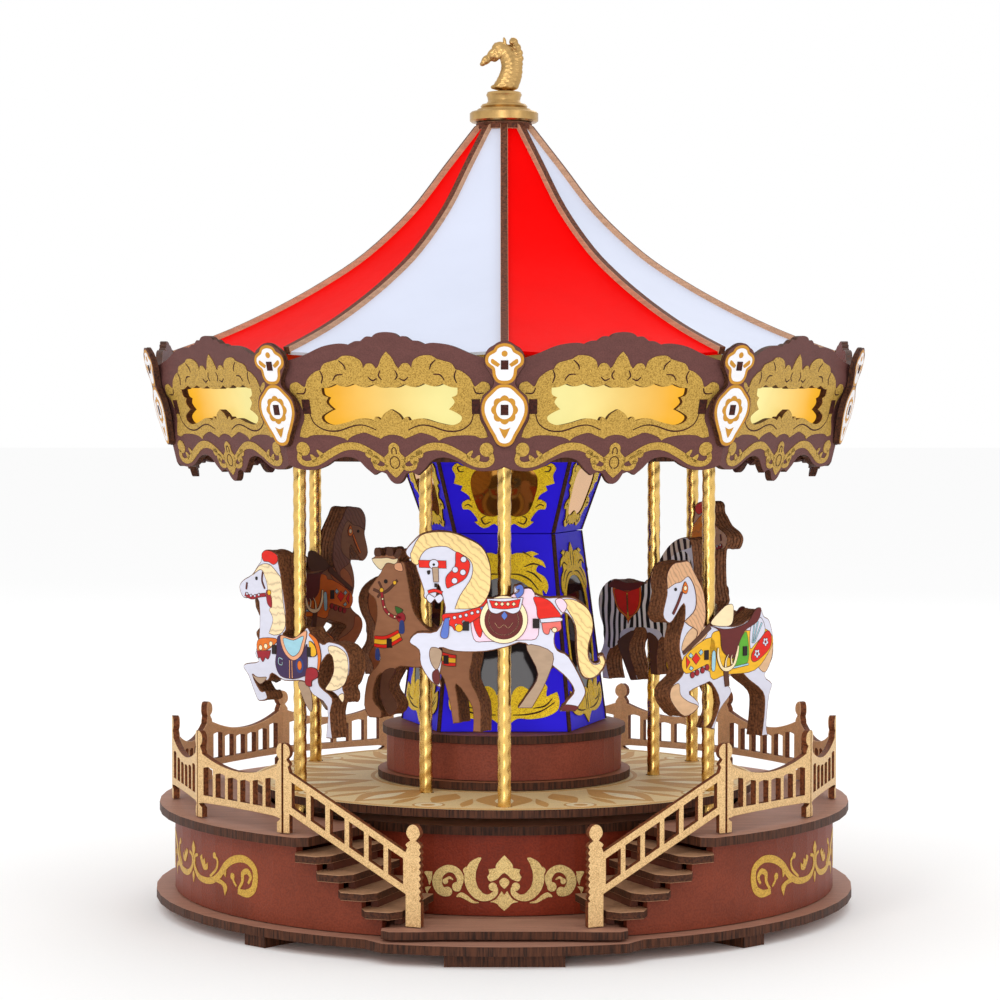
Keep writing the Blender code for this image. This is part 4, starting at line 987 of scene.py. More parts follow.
def make_deck():
    """Veneer inlay: leaf-shaped rays, ovals near the rim and fine rings."""
    def on_deck(x, y, z):
        return x, y, DECK_TOP + z

    brown, pale, eyes = [], [], []
    for index in range(RAYS):
        angle = 360.0 / RAYS * index
        between_rays = angle + 180.0 / RAYS
        hole = polar(76.6, between_rays)
        brown += [leaf(45.5, 80.5, angle, 8.2, 0.5), leaf(50.0, 73.0, between_rays, 4.4, 0.45),
                  circle(hole.x, hole.y, 5.2, 32)]
        brown += [leaf(60.0, 79.0, angle + side * 9.6, 1.5, 0.6) for side in (-1, 1)]
        pale += [leaf(54.0, 76.0, angle, 2.6, 0.5), circle(hole.x, hole.y, 4.4, 32)]
        eye = polar(77.2, between_rays)
        eyes.append(circle(eye.x, eye.y, 2.2, 24))
    inlay = Piece("deck_inlay", "carousel", "deck_cream")
    for finish, thick, paths in ((TAN_INLAY, 0.06, brown), (PALE_INLAY, 0.1, pale),
                                 (TAN_INLAY, 0.13, eyes)):
        for path in paths:
            inlay.add(board([path], 0, thick), finish, None, on_deck)
    for outer, inner in ((83.6, 82.6), (82.0, 81.6), (45.0, 43.6)):
        ring = board([circle(0, 0, outer, 120), circle(0, 0, inner, 120)], 0, 0.05)
        inlay.add(ring, TAN_INLAY, None, on_deck)
    inlay.done()


def upper_frame():
    outer = symmetric([
        (0, 3.0), (1.8, 2.5), (3.3, 3.4), (5.4, 2.2), (7.3, 2.1), (9.8, 4.1, 1), (8.7, 4.8),
        (11.2, 8.2), (13.4, 8.5), (13.8, 10.6), (11.8, 11.9), (10.8, 11.2, 1), (11.6, 13.2),
        (14.2, 15.0, 1), (13.6, 16.5, 1), (16.5, 17.4, 1), (16.0, 20.2), (17.0, 22.6),
        (15.4, 24.4), (13.2, 23.4), (9.0, 24.4), (4.0, 23.9), (0, 24.8)])
    hole = symmetric([
        (0, 7.4), (3.6, 5.9), (7.6, 7.2), (9.6, 11.2), (11.0, 17.6), (9.6, 21.6), (5.0, 22.6),
        (0, 22.0)])
    return [outer, hole]


def lower_frame():
    outer = symmetric([
        (0, 61.5, 1), (1.4, 59.8), (2.6, 58.0, 1), (4.0, 58.6), (6.6, 58.6), (9.0, 59.2),
        (11.4, 58.2, 1), (9.6, 57.4), (12.6, 56.0), (13.8, 53.6, 1), (11.6, 54.6), (10.6, 52.6),
        (13.4, 50.6), (14.6, 47.6), (13.8, 45.0, 1), (12.6, 46.2), (13.6, 40.0), (14.2, 32.0),
        (13.8, 24.0), (12.8, 17.6), (14.2, 14.6, 1), (13.9, 11.6), (15.4, 12.2), (17.4, 13.0, 1),
        (18.2, 9.8), (17.4, 6.8), (13.7, 4.8), (8.6, 4.0), (4.6, 4.2), (2.0, 2.6), (0, 0.8, 1)])
    return [outer, lower_hole()]


def lower_hole():
    return symmetric([
        (0, 50.4), (5.4, 49.2), (9.6, 45.4), (11.6, 38.4), (12.2, 30.0), (11.8, 21.6),
        (10.4, 14.6), (8.4, 10.6, 1), (6.8, 13.6), (4.2, 14.0), (2.6, 12.0), (0, 12.8)])


def lower_volutes():
    """Curls that stand on the gold of the lower frame."""
    crown = [(8.6, 57.0), (5.6, 58.0), (3.4, 56.2), (4.6, 54.2), (6.6, 55.0)]
    cradle = [(9.2, 8.6), (8.2, 12.4), (5.4, 14.2), (3.2, 12.2), (4.6, 10.2), (6.2, 11.2)]
    return paired([
        stroke(crown, (0.7, 1.1, 1.0, 0.8)), stroke(cradle, (0.8, 1.3, 1.3, 1.0, 0.8)),
        circle(4.7, 7.1, 1.2)])


def lower_lines():
    """Dark cut lines in the gold of the lower frame."""
    lines = [
        [(1.4, 51.6), (5.0, 51.4), (8.6, 49.6), (11.2, 46.4)],
        [(7.4, 52.6), (9.8, 51.6), (12.4, 49.0)], [(6.6, 54.0), (9.4, 55.0), (12.0, 54.4)],
        [(9.0, 57.2), (6.0, 59.0)], [(0.9, 53.6), (1.6, 56.0), (1.2, 58.4)],
        [(2.8, 5.4), (7.6, 5.6), (12.4, 6.8), (16.6, 9.6)],
        [(9.6, 7.6), (13.4, 8.4), (15.8, 10.8)], [(1.2, 5.0), (0.8, 8.0), (1.4, 10.6)]]
    cuts = [stroke(points, (0.3, 0.6, 0.3)) for points in lines]
    return paired(cuts + [circle(4.7, 7.1, 0.5)])


def upper_lines():
    """Dark cut lines in the gold of the upper frame."""
    lines = [
        stroke([(4.4, 4.2), (6.4, 3.4), (7.4, 5.2), (6.0, 6.2)], (0.3, 0.6, 0.3)),
        stroke([(10.4, 9.2), (11.8, 10.2), (13.0, 9.6)], (0.3, 0.5, 0.3)),
        stroke([(13.2, 21.6), (14.6, 21.6), (15.2, 23.0), (14.0, 23.4)], (0.3, 0.5, 0.3))]
    return paired(lines)

def make_tower():
    """Gilded frames round mirrors on every side, and a dark strip down every corner."""
    foot, head, waist, top = TOWER_LEVELS
    tiers = ((foot, head, *TOWER_RADII[:2]), (waist, top, *TOWER_RADII[1:]))
    gilt = 0.5                   # thickness of the frames
    glass = symmetric([(0, 5.6), (9.0, 6.6), (12.2, 17.6), (10.4, 22.6), (0, 23.4)])
    for side in range(TOWER_SIDES):
        lower, upper = [on_tower(side, *tier) for tier in tiers]
        piece = Piece(f"tower_gilding_{side + 1}", "carousel", "gold")
        piece.add(board(lower_frame(), 0.0, gilt, 0.08), TOWER_GOLD, CHAR, lower)
        piece.add(board(upper_frame(), 0.0, gilt, 0.08), TOWER_GOLD, CHAR, upper)
        piece.print_on(lower_volutes(), TOWER_GOLD, gilt, lower)
        piece.print_on(lower_lines(), CHAR, gilt, lower, 0.04)
        piece.print_on(upper_lines(), CHAR, gilt, upper, 0.04)
        piece.add(board([grown(lower_hole(), 0.5)], 0.0, 0.3), DARK_MIRROR, None, lower)
        # upper mirror, whose amber tint is a painted reflection
        piece.add(board([glass], 0.0, 0.2), MIRROR, None, upper)
        piece.done()
    edges = Piece("tower_edges", "carousel", "tower_blue")
    for corner in range(TOWER_SIDES):
        out, across = facing(180.0 / TOWER_SIDES + 360.0 * corner / TOWER_SIDES)
        for bottom, above, start, end in tiers:
            strip = board([rectangle(0, (bottom + above) / 2, 1.3, above - bottom)], -0.7, 0.12)

            def place(x, y, z):
                radius = start + (end - start) * (y - bottom) / (above - bottom) + z
                spot = out * radius + across * x
                return spot.x, spot.y, y
            edges.add(strip, CHAR, None, place)
    edges.done()


# ---------------------------------------------------------------- canopy

def panel_outline():
    return symmetric([
        (0, 188.4), (2.6, 188.0), (4.0, 186.9, 1), (5.6, 187.1), (7.4, 185.8, 1), (9.2, 185.7),
        (11.2, 184.7, 1), (14.0, 185.1), (19.0, 184.2), (25.0, 181.6), (31.0, 179.8),
        (34.55, 179.2, 1), (34.55, 148.4, 1), (31.0, 147.2), (26.5, 147.0), (22.5, 148.2),
        (19.0, 150.2), (15.5, 151.0), (12.0, 150.2), (9.4, 147.6), (7.0, 145.6, 1), (5.0, 146.5),
        (3.2, 146.0, 1), (1.8, 143.8), (0, 142.9)])


def window_outline():
    return symmetric([
        (0, 172.0), (2.4, 171.9), (4.6, 172.9, 1), (7.6, 172.0), (10.6, 173.1, 1), (13.6, 172.2),
        (16.2, 173.0, 1), (18.6, 172.0), (20.6, 171.8, 1), (20.4, 169.8), (18.8, 169.0, 1),
        (19.6, 167.4), (17.8, 165.4, 1), (19.6, 164.6), (21.6, 163.2), (21.0, 161.6),
        (18.4, 160.7), (14.2, 161.4), (9.4, 162.7), (5.6, 162.0, 1), (4.8, 163.2), (3.4, 162.2, 1),
        (2.2, 164.0), (0, 165.4, 1)])


def frame_outline():
    return symmetric([
        (0, 182.6, 1), (1.5, 180.8), (2.6, 178.4), (3.4, 177.6, 1), (4.6, 179.0), (6.2, 179.0),
        (7.2, 177.6, 1), (7.8, 179.8), (10.0, 181.2), (13.0, 181.4), (14.6, 180.4, 1),
        (16.6, 179.8), (19.0, 179.0), (20.2, 177.2, 1), (22.0, 176.6), (24.4, 174.6),
        (25.6, 172.2), (26.6, 172.6, 1), (28.0, 173.6), (30.0, 172.8), (30.2, 170.4),
        (28.6, 168.8), (27.6, 166.2), (27.0, 163.8), (27.4, 161.8), (28.6, 159.6),
        (29.4, 157.2, 1), (27.4, 156.8), (25.0, 157.6), (20.0, 157.6), (16.0, 156.9),
        (14.4, 156.0, 1), (13.0, 157.2), (9.0, 158.4), (6.4, 157.6), (3.8, 156.6, 1), (2.4, 157.4),
        (0, 157.8)])


def frame_lines():
    """Fine dark lines cut in the gold round a window."""
    lines = [
        [
            (25.2, 164.0), (24.2, 161.2), (21.2, 159.2), (17.0, 158.9), (12.0, 160.4),
            (8.6, 160.6), (5.0, 159.2)], [(20.4, 177.0), (19.8, 175.2), (20.4, 173.2)],
        [(14.4, 180.0), (13.0, 178.6), (12.6, 177.2)],
        [(13.6, 175.8), (15.6, 175.6), (16.8, 174.0)], [(2.2, 177.0), (2.8, 175.4), (2.0, 174.2)],
        [(3.4, 174.6), (4.8, 174.0), (6.0, 175.0)], [(25.4, 171.8), (26.2, 170.2), (28.4, 170.2)]]
    return paired([stroke(points, (0.3, 0.46, 0.3)) for points in lines])


def garland():
    """Lower scrollwork of a panel: two S-scrolls into a centre lozenge."""
    vine = [
        (30.2, 152.2), (30.6, 150.2), (28.8, 148.9), (25.2, 149.4), (20.4, 152.0), (16.0, 154.0),
        (11.6, 154.2), (7.6, 152.6), (3.0, 149.8)]
    side = [
        stroke(vine, (1.0, 1.2, 1.2, 1.7, 1.9, 1.9, 1.8, 1.4, 0.9)), circle(29.0, 153.4, 1.9),
        stroke([(2.6, 148.4), (3.8, 147.6), (6.0, 148.0), (6.6, 149.8)], (0.8, 1.0, 0.9)),
        circle(6.2, 150.2, 1.2), circle(8.0, 152.0, 1.0),
        loop([(22.8, 151.8, 1), (24.6, 153.0), (23.4, 150.6, 1)]),
        loop([(25.0, 150.4, 1), (26.8, 151.6), (26.2, 149.4, 1)])]
    lozenge = symmetric([
        (0, 155.2), (1.4, 154.2), (1.6, 152.4), (3.4, 150.6, 1), (2.8, 148.0), (1.6, 146.4),
        (0, 145.0, 1)])
    return paired(side) + [lozenge]


def garland_lines():
    """Dark cut lines in the lozenge of the garland."""
    drop = [(-0.7, 151.9), (-0.6, 153.4), (0, 153.9), (0.6, 153.4), (0.7, 151.9)]
    return [ribbon(circle(0, 149.4, 1.5, 24, 1.2), (0.3, 0.3)), stroke(drop, (0.3, 0.3))]


def make_cornice():
    """Scalloped panels with a lit window, its gold frame and a garland below."""
    face = -0.3                  # of the wood, behind the frame's
    gold = -0.1
    for side in range(SIDES):
        place = on_cornice(side)
        piece = Piece(f"cornice_panel_{side + 1}", "carousel", "cornice_brown")
        wood = board([panel_outline(), window_outline()], -CORNICE_THICKNESS, face, 0.1)
        piece.add(wood, CORNICE_FACE, CHAR, place)
        piece.add(board([frame_outline(), window_outline()], face, gold), GOLD_PRINT, None, place)
        piece.print_on([grown(path, 0.2) for path in garland()], GOLD_PRINT, -0.28, place, 0.16)
        piece.print_on(garland_lines() + frame_lines(), CORNICE_SLOT, gold, place, 0.04)
        slots = [rectangle(x, 166.2, 2.5, 4.4) for x in (-26.0, 26.0)]
        piece.print_on(slots, CORNICE_SLOT, gold, place, 0.06)
        piece.done("cornice")


def medallion_outline():
    half = [
        (0, 185.6), (1.8, 185.2), (3.4, 184.2, 1), (4.8, 183.3), (5.9, 181.4), (6.1, 178.6),
        (4.8, 176.4), (3.6, 174.4), (3.5, 172.6), (4.8, 171.0), (6.6, 169.2), (7.4, 166.2),
        (7.0, 162.8), (5.0, 159.6), (3.6, 157.2), (3.0, 155.8, 1), (2.0, 154.4), (0, 153.8)]
    return symmetric(half)


def medallion_prints():
    """What is printed round the slots: a ring, two leaves, a rosette and a drop."""
    leaf_tip = [(1.3, 178.6, 1), (3.6, 180.2), (3.9, 179.0), (2.0, 177.8, 1)]
    drop = symmetric([(0, 159.4), (1.7, 160.0, 1), (0.6, 157.6), (0, 156.7, 1)])
    return [
        circle(0, 181.7, 0.9, 16), *paired([loop(leaf_tip)]),
        scalloped(0, 165.2, 4.0, 8, 0.6, 1.08), drop]


def make_medallions():
    """Layered plates on the cornice's corners, with two white fields."""
    fields = [
        symmetric([
            (0, 183.8), (1.8, 183.3), (2.6, 182.1), (4.5, 180.9), (4.6, 179.1), (2.9, 177.6),
            (2.5, 175.4), (1.6, 174.1), (0, 173.8)]),
        symmetric([
            (0, 171.8), (1.7, 171.5), (3.5, 169.9), (5.5, 167.6), (5.8, 164.4), (4.3, 160.8),
            (2.7, 158.0), (1.6, 155.9), (0, 155.3)])]
    slots = [rectangle(0, 165.2, 2.3, 3.1), rectangle(0, 178.4, 2.2, 2.7)]
    prints = ((OCHRE, 1.9, 0.06, [grown(path, 0.95) for path in fields]),
              (MEDALLION_WHITE, 1.96, 0.1, fields), (OCHRE, 2.06, 0.05, medallion_prints()),
              (MEDALLION_WHITE, 2.11, 0.04, [circle(0, 165.2, 2.5, 24, 1.1)]),
              (CORNICE_SLOT, 2.14, 0.04, slots))
    for corner in range(SIDES):
        piece = Piece(f"medallion_{corner + 1}", "carousel", "cornice_brown")
        place = on_corner(corner * SIDE_ANGLE, MEDALLION_SINK)
        piece.add(board([grown(medallion_outline(), -0.1)], 0.0, 1.0), CHAR, None, place)
        piece.add(board([grown(medallion_outline(), -0.25)], 1.0, 1.9), CORNICE_FACE, CHAR, place)
        for finish, depth, thick, paths in prints:
            piece.print_on(paths, finish, depth, place, thick)
        piece.done("cornice")


def make_light_strip():
    """Lit strip behind the windows, ambering away from the front."""
    mesh = bmesh.new()
    tint = mesh.verts.layers.float_color.new("Glow")
    heights = (low("light_ring").z, high("light_ring").z)
    cream = Vector((1.0, 0.9, 0.36))
    amber = Vector((1.0, 0.5, 0.03))
    for side in range(SIDES):
        out, across = facing((side + 0.5) * SIDE_ANGLE)
        rows = []
        for column in range(LIGHT_COLUMNS + 1):
            share = column / LIGHT_COLUMNS
            warm = 1.0 - share if side >= SIDES / 2 else share
            fade = max(0.0, min(1.0, (warm - 0.3) / 0.45))
            row = []
            for depth in LIGHT_DEPTHS:
                for height in heights:
                    radius = (cornice_radius(height) - depth) * math.cos(HALF_SIDE)
                    half = radius * math.tan(HALF_SIDE) * 0.985
                    spot = out * radius + across * half * (2 * share - 1)
                    vert = mesh.verts.new((spot.x, spot.y, height))
                    vert[tint] = (*cream.lerp(amber, fade), 1.0)
                    row.append(vert)
            rows.append([row[0], row[1], row[3], row[2]])
        skinned(mesh, rows)
    piece = Piece("light_strip", "carousel", "glow")
    piece.index(GLOW)
    piece.mesh.free()
    piece.mesh = mesh
    piece.done("light_ring")


def roof_line(drop):
    """The roof's curve, moved square to itself by drop below."""
    path = line(ROOF_CURVE, 4)
    lowered = []
    for i, spot in enumerate(path):
        run = (path[min(i + 1, len(path) - 1)] - path[max(i - 1, 0)]).normalized()
        lowered.append(spot + Vector((run.y, -run.x)) * drop)
    return lowered


def roof_sheet(mesh, path, side):
    """Rows of vertices of one face of a sheet that sags between its ribs."""
    out, across = facing((side + 0.5) * SIDE_ANGLE)
    rows = []
    for radius, height in path:
        reach = radius * math.cos(HALF_SIDE)
        row = []
        for column in range(ROOF_COLUMNS + 1):
            share = 2 * column / ROOF_COLUMNS - 1
            sag = ROOF_SAG * reach * (1 - share ** 2)
            wide = (reach * math.tan(HALF_SIDE) - 0.25) * share
            spot = out * reach + across * wide
            row.append(mesh.verts.new((spot.x, spot.y, height - sag)))
        rows.append(row)
    return rows


def make_roof():
    """Sheets in red and white, each a closed body between two faces."""
    paths = [roof_line(depth) for depth in ROOF_DEPTHS]
    for side in range(SIDES):
        mesh = bmesh.new()
        top, bottom = [roof_sheet(mesh, path, side) for path in paths]
        strips = list(zip(top, top[1:])) + list(zip(bottom, bottom[1:]))
        strips += [([row[edge] for row in top], [row[edge] for row in bottom])
                   for edge in (0, -1)]
        strips += [(top[0], bottom[0]), (top[-1], bottom[-1])]
        for one, two in strips:
            for i in range(len(one) - 1):
                mesh.faces.new((one[i], one[i + 1], two[i + 1], two[i]))
        piece = Piece(f"roof_panel_{side + 1}", "carousel", "roof_sheet")
        piece.add(mesh, ROOF_RED if side % 2 == 0 else ROOF_WHITE)
        piece.done("roof_skin")


def make_ribs():
    """Curved ribs under a round hub."""
    hub = high("rib_frame").z
    outline = [Vector((5.0, hub - 0.3)), Vector((8.0, hub - 0.1))] + roof_line(0.0)
    outline += roof_line(RIB_DEPTH)[::-1] + [Vector((5.0, hub - 2.5))]
    for corner in range(SIDES):
        piece = Piece(f"roof_rib_{corner + 1}", "carousel", "rib_wood")
        place = upright((0, 0), polar(1.0, corner * SIDE_ANGLE))
        piece.add(board([outline], -RIB_HALF, RIB_HALF, 0.1), RIB_FACE, RIB_EDGE, place)
        piece.done("rib_frame")
    disc = Piece("roof_hub", "carousel", "rib_wood")
    disc.add(board([circle(0, 0, 9.4, 64)], hub - 2 * RIB_HALF, hub, 0.15), RIB_FACE, RIB_EDGE)
    disc.done("rib_frame")


# ---------------------------------------------------------------- finial

def ball(mesh, centre, size, tilt=0.0):
    """Ellipsoid, tilted about Y, as raw material for a modelled head."""
    turn = Matrix.Rotation(math.radians(tilt), 4, "Y")
    stretch = Matrix.Diagonal((*size, 1.0))
    bmesh.ops.create_icosphere(mesh, subdivisions=2, radius=1.0,
                               matrix=Matrix.Translation(centre) @ turn @ stretch)


def modelled(mesh, voxel, rounds):
    """One skin over everything in mesh, smoothed a little."""
    data = bpy.data.meshes.new("clay")
    mesh.to_mesh(data)
    mesh.free()
    clay = bpy.data.objects.new("clay", data)
    bpy.context.scene.collection.objects.link(clay)
    remesh = clay.modifiers.new("skin", "REMESH")
    remesh.mode = "VOXEL"
    remesh.voxel_size = voxel
    relax = clay.modifiers.new("relax", "SMOOTH")
    relax.iterations = rounds
    relax.factor = 0.5
    graph = bpy.context.evaluated_depsgraph_get()
    skin = bpy.data.meshes.new_from_object(clay.evaluated_get(graph))
    result = bmesh.new()
    result.from_mesh(skin)
    bpy.data.objects.remove(clay)
    bpy.data.meshes.remove(data)
    bpy.data.meshes.remove(skin)
    return result


def make_stand():
    foot = low("finial_base").z
    profile = [(0.0, 0.0), (10.9, 0.0), (11.5, 0.5), (11.5, 3.0), (11.0, 3.5), (9.2, 3.8),
               (8.9, 4.4), (7.6, 4.7), (7.9, 5.3), (7.4, 6.0), (6.0, 6.3), (5.4, 7.2), (5.6, 8.4),
               (6.0, 9.2), (5.6, 10.1), (0.0, 10.1)]
    stand = Piece("finial_stand", "carousel", "gold")
    stand.add(turned([(radius, foot + up) for radius, up in profile], 72), FINIAL_GOLD)
    stand.done("finial_base")


def make_finial():
    """Horse's head that looks towards -X: neck, head, features and a double row of mane."""
    foot = low("finial_horse").z
    clay = bmesh.new()
    ball(clay, (0.2, 0, foot + 1.4), (5.0, 2.8, 1.3))
    rings = 8
    for step in range(rings + 1):
        t = step / rings
        x = 0.8 + 2.6 * math.sin(math.pi * t * 0.75) - 2.4 * t * t
        ball(clay, (x, 0, foot + 2.0 + 11.6 * t), (4.5 - 1.3 * t, 2.9 - 0.8 * t, 2.4))
    skull = ((-0.8, 13.8, (3.6, 2.2, 2.8), 20), (-3.4, 12.4, (2.8, 1.8, 2.0), -38),
             (-5.9, 10.5, (2.1, 1.4, 1.5), -40), (-7.0, 9.3, (1.3, 1.15, 0.9), -30),
             (-3.2, 11.2, (1.6, 1.2, 1.5), 0))
    for x, up, size, tilt in skull:
        ball(clay, (x, 0, foot + up), size, tilt)
    features = (                 # ears, eyes, nostrils and cheeks
        (0.2, 1.2, 16.6, (0.6, 0.5, 1.5), -12), (-3.3, 1.35, 13.4, (0.6, 0.35, 0.5), 0),
        (-7.3, 0.9, 9.9, (0.35, 0.3, 0.3), 0), (-2.2, 1.5, 11.8, (1.3, 0.5, 1.3), 0))
    for side in (-1, 1):
        for x, out, up, size, tilt in features:
            ball(clay, (x, side * out, foot + up), size, tilt)
    locks = 8
    for step in range(locks):
        t = step / (locks - 1)
        x = 0.9 + 4.4 * math.sin(math.pi * (0.18 + 0.72 * t)) - 0.4 * t
        ball(clay, (x, 0, foot + 16.6 - 12.8 * t), (1.6, 1.35 - 0.3 * t, 1.4), 35)
        for side in (-1, 1):
            ball(clay, (x - 0.7, side * 0.95, foot + 16.3 - 13.0 * t), (0.95, 0.75, 0.8), 35)
    head = Piece("finial_head", "carousel", "gold")
    head.add(modelled(clay, 0.22, 2), FINIAL_GOLD)
    head.done("finial_horse")


# ---------------------------------------------------------------- riders

# Rider drawings: distance ahead of the pole and height above the back.
PRANCER = [
    (30, 12.5), (30.5, 14.5), (28, 17.5), (25.5, 19.5), (20.5, 20.5), (14.5, 19.5), (9.5, 17),
    (6, 14), (4.5, 9), (4.5, 3), (5.5, 0), (1.5, -0.5), (-2.5, 0.5), (-3, 3.5), (-5.5, 3),
    (-12, 0), (-17.5, 0), (-22, -0.5), (-26.5, -4.5), (-27.5, -10), (-26.3, -15), (-26.4, -18.6),
    (-27.7, -20.4), (-29.2, -20), (-28.8, -18.3), (-30.6, -17.8), (-31.5, -20.4), (-30, -23.4),
    (-27.6, -25.4), (-24.6, -25.2), (-22.8, -22), (-22, -16), (-21.6, -9), (-18.8, -5),
    (-16.8, -8), (-15.5, -13), (-16.5, -16.5), (-20, -18.5), (-24.5, -27), (-25, -30.5),
    (-22, -35.5, 1), (-17, -35.5, 1), (-19.5, -32), (-21.5, -29), (-19, -25), (-15.5, -22),
    (-13, -26), (-8.5, -34.5, 1), (-4, -34.5, 1), (-6.5, -31), (-10.5, -24), (-6.5, -14.5),
    (-1, -15.5), (6, -17), (15, -17), (20, -15.8), (19.2, -20), (20, -25), (19.6, -28), (23, -26),
    (26, -21), (26.5, -16.5), (29.5, -14), (27, -11), (21, -10.5), (18.5, -4.5), (19, -1),
    (20.5, 4), (21, -0.5), (23, -1.5), (25, 0), (25, 2), (27, 8), (28, 11)]
PARADE = [
    (23.6, 13.5), (23.6, 16.5), (21.4, 21), (17, 22), (13.4, 22), (11.4, 19), (8.5, 15),
    (6.4, 10.5), (5.6, 6), (5.6, 1), (1.8, 1), (-1.8, 1), (-7.6, 0), (-13.4, 0.8), (-19, 3.8),
    (-22, 5), (-23.6, 2.5), (-26.3, 1), (-28.2, -4.5), (-28, -11.5), (-24, -17), (-27.8, -20),
    (-26.3, -24), (-25, -33), (-25.8, -37, 1), (-22.6, -37, 1), (-24, -27.5), (-23, -22.5),
    (-16, -18), (-11.2, -15), (-5, -17.5), (-7.6, -21.5), (-1.8, -27), (0.8, -33, 1),
    (2.4, -32.5, 1), (-1.8, -24.5), (2.2, -18), (5.4, -18), (12.8, -20), (10.4, -22), (8, -25),
    (15.1, -28), (21.6, -22.5), (21.6, -18), (17, -15), (15.6, -12.5), (17.6, -6.5), (17.2, -1.5),
    (15.2, 3.5), (15.6, 8.5), (20.8, 3.2), (23.2, 2.8), (25.4, 5.5), (23.6, 11.5)]
PLUMED = [
    (15, 23), (13.5, 24.6), (10.5, 24.6), (7, 23.4), (6.6, 20.5), (5.2, 16), (4, 10), (3, 4.5),
    (3, -1), (4.5, -2.5), (-0.5, -3.5), (-5.5, -1), (-7.5, 0.5), (-10, -2), (-15, -4.5),
    (-18, -3.5), (-24.5, -4.5), (-27.5, -8), (-27.5, -13.5), (-24.5, -17.5), (-25.5, -20),
    (-24.5, -22.8), (-22.4, -21), (-19.5, -19.5), (-16, -19), (-19.6, -14.5), (-19.8, -9.5),
    (-17.6, -7.6), (-14.5, -10.5), (-13, -14.5), (-13.5, -18), (-19.5, -21.5), (-18.5, -26.5),
    (-19.5, -34.5, 1), (-16.4, -34.5, 1), (-17, -24.5), (-10, -21), (-7.5, -18), (-4.5, -17),
    (4, -17.5), (10, -15.5), (12, -18), (16.5, -18), (20, -16.5), (16, -21.5), (13.5, -21.5),
    (12.5, -24), (16.5, -25), (18.5, -23), (22, -17), (24.5, -14.5), (23, -13), (16.8, -12),
    (18.5, -9.5), (16.5, -4), (16.5, 7.5), (20, 8.6), (24.5, 8.6), (26.5, 12), (24.5, 14.4),
    (20, 16.4), (17, 19.5), (15.6, 20.8)]
ZEBRA = [
    (25, 22.5), (20, 23), (13, 20), (6, 13), (0.5, 7), (-10, 6.5), (-18.5, 7.5), (-25, 4.5),
    (-27.6, 0), (-26.8, -5), (-24.8, -9), (-24.5, -15), (-27, -19.5), (-25.6, -23), (-25, -27, 1),
    (-21, -27, 1), (-22.6, -22), (-21.6, -18), (-15.5, -12), (-15.5, -16), (-8.4, -26.5, 1),
    (-4, -26, 1), (-9.5, -16), (-5.5, -8.5), (0, -8.5), (2.4, -15), (3, -23.5, 1), (7, -23.5, 1),
    (6.4, -17), (7.5, -12), (12, -10), (14, -13), (17.5, -17, 1), (20.5, -15, 1), (16.6, -10),
    (14.8, -5), (13.8, 0), (13.5, 4), (17, 10), (21.4, 7), (25.5, 4), (28.4, 4), (29.5, 6.5),
    (27.4, 11), (26.8, 16)]
REINDEER = [
    (19.5, 12.4), (17, 15.5), (14.6, 18.6), (16.6, 20.6), (18.6, 22), (17.2, 23), (17.4, 25.4),
    (15.4, 25.6), (14.8, 23.4), (13, 23.6), (12.6, 25.8), (10.4, 25.8), (10.2, 23.2), (8.6, 25.6),
    (6.8, 25), (8.2, 21.6), (6.2, 21.4), (5.2, 18.4), (4.2, 13.5), (2.6, 6), (-1.5, 1.2),
    (-6.5, -1), (-16, -1.5), (-19, 1.5), (-21, -1), (-19.8, -5), (-19.5, -9), (-18.5, -15),
    (-22.4, -22.6), (-22.6, -32, 1), (-19.6, -32, 1), (-19.2, -24), (-13.4, -17), (-14.2, -23),
    (-14.8, -29.4, 1), (-12.2, -29.8, 1), (-10.6, -22), (-7, -13.4), (3, -12.6), (9, -13),
    (12, -19), (9.4, -23), (8.6, -26), (12, -28.5), (15.4, -22), (14.5, -15), (17, -17.5),
    (18, -23.5), (14.8, -27), (15, -29.5, 1), (19.5, -29.5, 1), (21.5, -25.5), (20, -16.5),
    (16, -12), (15.4, -9), (17.6, -6.5), (18, -3), (16.8, 2), (16.5, 5.5), (17.2, 9), (19.6, 10.8)]


